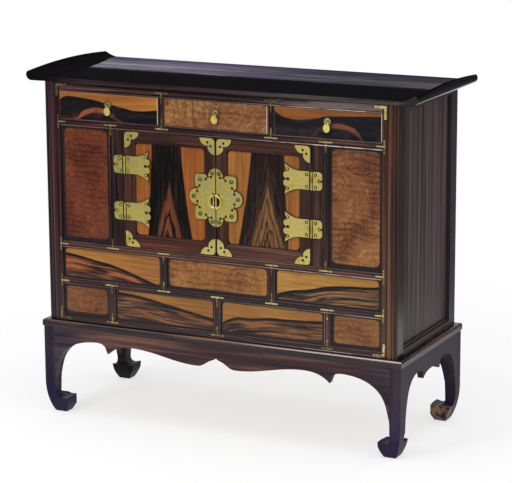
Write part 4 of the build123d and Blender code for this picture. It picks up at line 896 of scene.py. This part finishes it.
def thinPlateDirtAndHighlight(brass, colour):
    # dirty thin plates, lighter in the upper right corner and on the bars along the rails: wear and painted
    # highlight
    patches = brass.span(brass.cloud(210.0, 21.0, 3.0, 0.6), 0.44, 0.58)
    colour = brass.mix(brass.times(patches, plateWearAndHighlight["grime"]), colour, paint(*brassLook["speck"]))
    wearAndGlint = brass.times(brass.span(brass.x, *plateWearAndHighlight["cornerX"]), brass.span(brass.z, *plateWearAndHighlight["cornerZ"]))
    for level in plateWearAndHighlight["bars"]:
        bar = brass.under(brass.apart(brass.z, level), plateWearAndHighlight["halfBar"])
        wearAndGlint = brass.most(wearAndGlint, brass.times(bar, 0.75))
    wearAndHighlight = brass.span(brass.cloud(120.0, 2.0, 3.0, 0.6), 0.36, 0.52, 0.35, 1.0)
    return brass.mix(brass.times(wearAndGlint, wearAndHighlight), colour, paint(*plateWearAndHighlight["wearAndGlint"]))


finishes["brass"] = agedBrass("agedBrass")
finishes["brassHinge"] = agedBrass("hingeBrass", pinLine)
finishes["brassLock"] = agedBrass("lockBrass", rivetRings, body=(232, 214, 118))
finishes["brassThin"] = agedBrass("agedBrassThin", thinPlateDirtAndHighlight, bright=(220, 204, 150), body=(166, 146, 98),
                                  tarnish=(96, 80, 54))
finishes["brassBright"] = agedBrass("rubbedBrass", bright=(255, 248, 150), body=(250, 234, 120),
                                    tarnish=(190, 170, 96), rough=0.42)
# dark patina, grime and painted shade, for the rims round plates and nails and the disc behind the lock ring
finishes["brassDirt"] = agedBrass("brassPatinaAndShade", bright=(58, 44, 26), body=(36, 27, 18),
                                  tarnish=(22, 16, 12), rough=0.6, metal=0.0)
for spot in ("left", "centre", "right"):
    finishes["rosette" + spot.title()] = agedBrass(
        "rosetteBrass" + spot.title(), rosetteRim("pull_rosette_" + spot), bright=(226, 220, 176),
        body=(206, 198, 150), tarnish=(150, 140, 96))
print("brass made")

# which finish the CAD pieces take; the finish of a front rail has the rail's own name
dressing = {
    "frameZ": "dividers", "stileZ": "stiles_hinge", "frameY": "rails_side_left rails_side_right",
    "postLeft": "post_front_left", "postRight": "post_front_right", "rear": "post_back_left post_back_right",
    "side": "panel_side_left panel_side_right", "back": "rails_back panel_back",
    "insideX": "board_bottom board_dust",
    "insideY": "drawer_guides drawer_box_left drawer_box_centre drawer_box_right",
    "burlLeft": "panel_burl_left", "burlRight": "panel_burl_right", "burlRow": "panels_burl",
    "figuredRow": "panels_figured", "topX": "top_board", "topY": "top_end_left top_end_right",
    "moulding": "stand_frame", "standX": "apron_front apron_back", "standY": "apron_left apron_right",
    "leg": "leg_front_left leg_front_right leg_back_left leg_back_right",
    "drawerLeft": "drawer_front_left", "drawerCentre": "drawer_front_centre",
    "drawerRight": "drawer_front_right", "doorFrameLeft": "door_frame_left",
    "doorFrameRight": "door_frame_right", "doorLeft": "door_panel_left", "doorRight": "door_panel_right",
    "brassThin": "frame_brass", "brassHinge": "hinge_leaves_fixed door_plates_left door_plates_right",
    "brassLock": "lock_plate_left lock_plate_right", "brass": "lock_ring_left lock_ring_right",
    "rosetteLeft": "pull_rosette_left", "rosetteCentre": "pull_rosette_centre",
    "rosetteRight": "pull_rosette_right",
    "brassBright": "pull_drop_left pull_drop_centre pull_drop_right",
}
dressing.update({rail: rail for rail in gleamShares})
for key, names in dressing.items():
    for name in names.split():
        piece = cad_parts[name]
        piece.data.materials.clear()
        piece.data.materials.append(finishes[key])
print("pieces dressed", sum(len(names.split()) for names in dressing.values()))


def pick(*pieces):
    # select these alone, the first one active
    bpy.ops.object.select_all(action="DESELECT")
    for piece in pieces:
        piece.select_set(True)
    bpy.context.view_layer.objects.active = pieces[0]


def applyPlace():
    bpy.ops.object.transform_apply(location=True, rotation=True, scale=True)


# dark patina and painted shade that show as a thin line round every plate: a copy of it, a little wider and
# much thinner
patinaAndShadeLook = {"wider": 0.0013, "thinner": 0.3, "face": -0.160}


def patinaAndShadeUnder(node, body):
    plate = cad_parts[node]
    under = bpy.data.objects.new(node + "_patina_and_shade", plate.data.copy())
    bpy.context.scene.collection.objects.link(under)
    pick(under)
    bpy.ops.object.mode_set(mode="EDIT")
    bpy.ops.mesh.select_all(action="SELECT")
    bpy.ops.mesh.remove_doubles(threshold=0.00001)
    bpy.ops.transform.shrink_fatten(value=patinaAndShadeLook["wider"], use_even_offset=True)
    bpy.ops.transform.resize(value=(1.0, patinaAndShadeLook["thinner"], 1.0),
                             center_override=(0.0, patinaAndShadeLook["face"], 0.0))
    bpy.ops.object.mode_set(mode="OBJECT")
    under.data.materials.clear()
    under.data.materials.append(finishes["brassDirt"])
    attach(under, body)


patinaAndShadeUnder("hinge_leaves_fixed", "carcass")
for plate in ("door_plates_", "lock_plate_"):
    for side in sides:
        patinaAndShadeUnder(plate + side, "door_" + side)
print("patina_and_shade lines laid")

# nails, and dark washers and rims of grime and painted shade round nails, rivets and holes, each modelled
# once and copied to every place
nailLook = {"dome": 0.0016, "flat": 0.6, "washer": 0.0036, "thick": 0.0003}
hingeLook = {"x": 0.2125, "z": (0.557, 0.459), "face": -0.1612,
             "fixed": [(0.0100, 0.0124), (0.0100, -0.0124), (0.0185, 0.0)],
             "moving": [(-0.0095, 0.0125), (-0.0095, -0.0125), (-0.0515, 0.0195), (-0.0515, -0.0195)]}
lockLook = {"rivets": 0.0505, "turns": (-45, 0, 45), "split": 0.0075, "face": -0.1614, "washer": 0.0048,
            "shadeDisc": 0.0118, "ringZ": 0.497}
cornerHoles = {"far": 0.0172, "near": 0.0096, "rim": 0.0027}


def washer(name, radius, thick, sideCount=20):
    # a thin dark disc of grime and painted shade facing the front, its rim eased by an inset that is pulled
    # forward
    bpy.ops.object.select_all(action="DESELECT")
    bpy.ops.mesh.primitive_cylinder_add(vertices=sideCount, radius=radius, depth=thick,
                                        location=(0, -thick / 2, 0), rotation=(math.pi / 2, 0, 0))
    disc = bpy.context.active_object
    applyPlace()
    bpy.ops.object.mode_set(mode="EDIT")
    bpy.ops.mesh.select_all(action="DESELECT")
    bpy.ops.object.mode_set(mode="OBJECT")
    for face in disc.data.polygons:
        face.select = face.normal.y < -0.9
    bpy.ops.object.mode_set(mode="EDIT")
    bpy.ops.mesh.inset(thickness=thick, depth=thick * 0.4)
    bpy.ops.object.mode_set(mode="OBJECT")
    disc.name = name
    disc.data.materials.append(finishes["brassDirt"])
    return disc


def nailModel(look):
    # a low dome on a washer
    disc = washer("nail", look["washer"], look["thick"])
    bpy.ops.object.select_all(action="DESELECT")
    bpy.ops.mesh.primitive_uv_sphere_add(segments=14, ring_count=8, radius=look["dome"], location=(0, 0, 0))
    dome = bpy.context.active_object
    bpy.ops.object.mode_set(mode="EDIT")
    bpy.ops.mesh.select_all(action="SELECT")
    bpy.ops.mesh.bisect(plane_co=(0, 0, 0), plane_no=(0, 1, 0), clear_outer=True, use_fill=True)
    bpy.ops.mesh.select_all(action="SELECT")
    bpy.ops.transform.resize(value=(1.0, look["flat"], 1.0), center_override=(0, 0, 0))
    bpy.ops.transform.translate(value=(0, -look["thick"], 0))
    bpy.ops.mesh.normals_make_consistent(inside=False)
    bpy.ops.object.mode_set(mode="OBJECT")
    bpy.ops.object.shade_smooth_by_angle(angle=math.radians(40))
    dome.data.materials.append(finishes["brass"])
    pick(disc, dome)
    bpy.ops.object.join()
    return bpy.context.active_object


def copiesAt(model, places, name, body):
    # one mesh that holds a copy of the model at each place
    copies = []
    for place in places:
        copy = model.copy()
        copy.data = model.data.copy()
        bpy.context.scene.collection.objects.link(copy)
        copy.location = place
        copies.append(copy)
    pick(*copies)
    applyPlace()
    bpy.ops.object.join()
    joined = bpy.context.active_object
    joined.name = name
    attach(joined, body)


def hingePlaces(sign, offsets):
    return [(sign * (hingeLook["x"] + dx), hingeLook["face"], z + dz)
            for z in hingeLook["z"] for dx, dz in offsets]


nail = nailModel(nailLook)
for side, sign in sides.items():
    copiesAt(nail, hingePlaces(sign, hingeLook["moving"]), "hinge_nails_" + side, "door_" + side)
fixedPlaces = [place for sign in sides.values() for place in hingePlaces(sign, hingeLook["fixed"])]
copiesAt(nail, fixedPlaces, "hinge_nails_fixed", "carcass")
bpy.data.objects.remove(nail)


def lockPlaces(sign):
    # under the rivets of one half of the lock plate
    reach, middle = lockLook["rivets"], rivetMark["middle"]
    turns = [math.radians(turn) for turn in lockLook["turns"]]
    places = [(sign * reach * math.cos(turn), lockLook["face"], middle + reach * math.sin(turn))
              for turn in turns]
    return places + [(sign * lockLook["split"], lockLook["face"], middle + end * reach) for end in (-1, 1)]


def cornerPlaces(sign):
    # two holes in the plate at every corner of a door
    far, near = cornerHoles["far"], cornerHoles["near"]
    return [(sign * (edge + inward * dx), hingeLook["face"], end + upward * dz)
            for edge, inward in ((doorFrame["inner"], 1), (doorFrame["outer"], -1))
            for end, upward in ((doorFrame["low"], 1), (doorFrame["high"], -1))
            for dx, dz in ((far, near), (near, far))]


for name, radius, placesFor in (("lock_washers_", lockLook["washer"], lockPlaces),
                                ("wing_holes_", cornerHoles["rim"], cornerPlaces)):
    disc = washer("disc", radius, nailLook["thick"])
    for side, sign in sides.items():
        copiesAt(disc, placesFor(sign), name + side, "door_" + side)
    bpy.data.objects.remove(disc)


# painted shade behind the lock ring: a thin dark disc, half of it on each door
def lockShadeDisc(side, sign):
    disc = washer("lock_shade_disc_" + side, lockLook["shadeDisc"], nailLook["thick"] * 0.6, 40)
    pick(disc)
    disc.location = (0, lockLook["face"], lockLook["ringZ"])
    applyPlace()
    bpy.ops.object.mode_set(mode="EDIT")
    bpy.ops.mesh.select_all(action="SELECT")
    bpy.ops.mesh.bisect(plane_co=(sign * doorFrame["inner"], 0, 0), plane_no=(-sign, 0, 0),
                        clear_outer=True, use_fill=True)
    bpy.ops.object.mode_set(mode="OBJECT")
    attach(disc, "door_" + side)


for side, sign in sides.items():
    lockShadeDisc(side, sign)
print("nails and washers set")

# floor and backdrop: white where they are seen, and the floor keeps the shadow near the chest
floorLook = {"size": 16.0, "below": 0.0004, "colour": (0.95, 0.95, 0.96), "glow": 0.66, "nearRadius": 0.75,
             "farRadius": 1.5}


def seenDirectly(nodes):
    rays = nodes.node("ShaderNodeLightPath").outputs
    return nodes.most(rays["Is Camera Ray"], rays["Is Glossy Ray"], rays["Is Transmission Ray"])


def stagePlane(name, width, height, place, turn=(0.0, 0.0, 0.0)):
    bpy.ops.object.select_all(action="DESELECT")
    bpy.ops.mesh.primitive_plane_add(size=1.0, location=place, rotation=turn)
    plane = bpy.context.active_object
    plane.scale = (width, height, 1.0)
    applyPlace()
    plane.name = name
    return plane


def floorPaint():
    ground = Finish("floorPaint")
    lit = ground.node("ShaderNodeBsdfDiffuse", {0: floorLook["colour"]})
    glow = ground.node("ShaderNodeEmission", {0: white, 1: 1.0})
    share = ground.span(ground.distance(ground.x, ground.y), floorLook["nearRadius"], floorLook["farRadius"],
                        floorLook["glow"], 1.0)
    amount = ground.times(seenDirectly(ground), share)
    return ground.done(ground.node("ShaderNodeMixShader", {0: amount, 1: lit.outputs[0], 2: glow.outputs[0]}))


floor = stagePlane("floor", floorLook["size"], floorLook["size"], (0, 0, -floorLook["below"]))
floor.data.materials.append(floorPaint())


# upright cards that only reflections see, as in a studio with dark flags round the lamps:
# span is left, right, bottom, top; fade and dim run along an axis
cardLook = {
    "backDark": {"far": 0.55, "span": (-1.4, 1.4, 0.8205, 1.7), "along": "z", "fade": (0.82, 1.5),
                 "first": (0.012, 0.012, 0.014), "last": (0.02, 0.02, 0.02)},
    "backGrey": {"far": 0.55, "span": (-1.4, 1.4, 0.70, 0.8205), "along": "z", "fade": (0.786, 0.8195),
                 "dim": (-0.5, 0.1, 1.75, 0.62), "streaks": (3.0, 1.0, 270.0),
                 "first": (0.07, 0.06, 0.12), "last": (0.42, 0.40, 0.44)},
    "side": {"far": 0.9, "span": (0.46, 2.6, 0.0, 1.3), "along": "z", "fade": (0.1, 0.6),
             "first": (0.14, 0.14, 0.17), "last": (0.10, 0.09, 0.09)},
    "front": {"far": -1.3, "span": (-2.6, 1.6, 0.0, 1.05), "along": "x", "fade": (-1.1, -0.1),
              "first": (0.012, 0.012, 0.014), "last": (0.30, 0.28, 0.27)},
}


def reflectionCard(name, look):
    left, right, low, high = look["span"]
    place = ((left + right) / 2, look["far"], (low + high) / 2)
    card = stagePlane(name, right - left, high - low, place, (math.pi / 2, 0, 0))
    board = Finish(name + "Board")
    colour = board.mix(board.span(getattr(board, look["along"]), *look["fade"]), look["first"], look["last"])
    if "streaks" in look:
        lines = board.cloud(look["streaks"], 0.0, 3.0, 0.6, 0.3)
        colour = board.mix(board.span(lines, 0.58, 0.42, 0.0, 0.8), colour, look["first"])
    strength = board.span(board.x, *look["dim"]) if "dim" in look else 1.0
    card.data.materials.append(board.done(board.node("ShaderNodeEmission", {0: colour, 1: strength})))
    for ray in ("camera", "diffuse", "shadow", "transmission", "volume_scatter"):
        setattr(card, "visible_" + ray, False)


for name, look in cardLook.items():
    reflectionCard(name + "Card", look)

# world: soft even light, white where it is seen
worldLook = {"light": 0.75}
scene = bpy.context.scene
scene.world = bpy.data.worlds.new("studio")
scene.world.use_nodes = True
sky = Nodes(scene.world.node_tree)
skyLight = sky.node("ShaderNodeBackground", {0: white, 1: worldLook["light"]})
skySeen = sky.node("ShaderNodeBackground", {0: white, 1: 1.0})
skyMix = sky.node("ShaderNodeMixShader", {
    0: seenDirectly(sky), 1: skyLight.outputs[0], 2: skySeen.outputs[0]})
sky.node("ShaderNodeOutputWorld", {0: skyMix.outputs[0]})

# lamps
lampLook = {
    "front": {"place": (-1.35, -3.6, 2.0), "aim": (0, 0, 0.4), "size": (0.9, 1.5), "power": 53.0},
    "above": {"place": (0.2, -0.5, 3.0), "aim": (0, 0, 0.3), "size": (2.6, 1.8), "power": 30.0},
}


def softLamp(name, look):
    data = bpy.data.lights.new(name, "AREA")
    data.shape = "RECTANGLE"
    data.size, data.size_y = look["size"]
    data.energy = look["power"]
    lamp = bpy.data.objects.new(name, data)
    scene.collection.objects.link(lamp)
    lamp.location = look["place"]
    aim = Vector(look["aim"]) - Vector(look["place"])
    lamp.rotation_euler = aim.to_track_quat("-Z", "Y").to_euler()


for name, look in lampLook.items():
    softLamp(name + "Lamp", look)

# camera: place in metres, angles in degrees, lens in millimetres
cameraLook = {"place": (1.9994, -4.0933, 1.4088), "azimuth": 25.895, "elevation": 12.724, "roll": -0.317,
              "lens": 155.43, "sensor": 36.0, "near": 0.05, "far": 60.0}


def aimedCamera(look):
    data = bpy.data.cameras.new("camera")
    data.sensor_width = look["sensor"]
    data.lens = look["lens"]
    data.clip_start, data.clip_end = look["near"], look["far"]
    camera = bpy.data.objects.new("camera", data)
    scene.collection.objects.link(camera)
    azimuth, elevation, roll = (math.radians(look[angle]) for angle in ("azimuth", "elevation", "roll"))
    back = Vector((math.sin(azimuth) * math.cos(elevation), -math.cos(azimuth) * math.cos(elevation),
                   math.sin(elevation)))
    right = Vector((0, 0, 1)).cross(back).normalized()
    upward = back.cross(right)
    rolledRight = right * math.cos(roll) + upward * math.sin(roll)
    rolledUp = upward * math.cos(roll) - right * math.sin(roll)
    turn = Matrix((rolledRight, rolledUp, back)).transposed()
    camera.matrix_world = Matrix.Translation(look["place"]) @ turn.to_4x4()
    return camera


scene.camera = aimedCamera(cameraLook)
scene.view_settings.view_transform = "Standard"
print("stage, lamps and camera set")
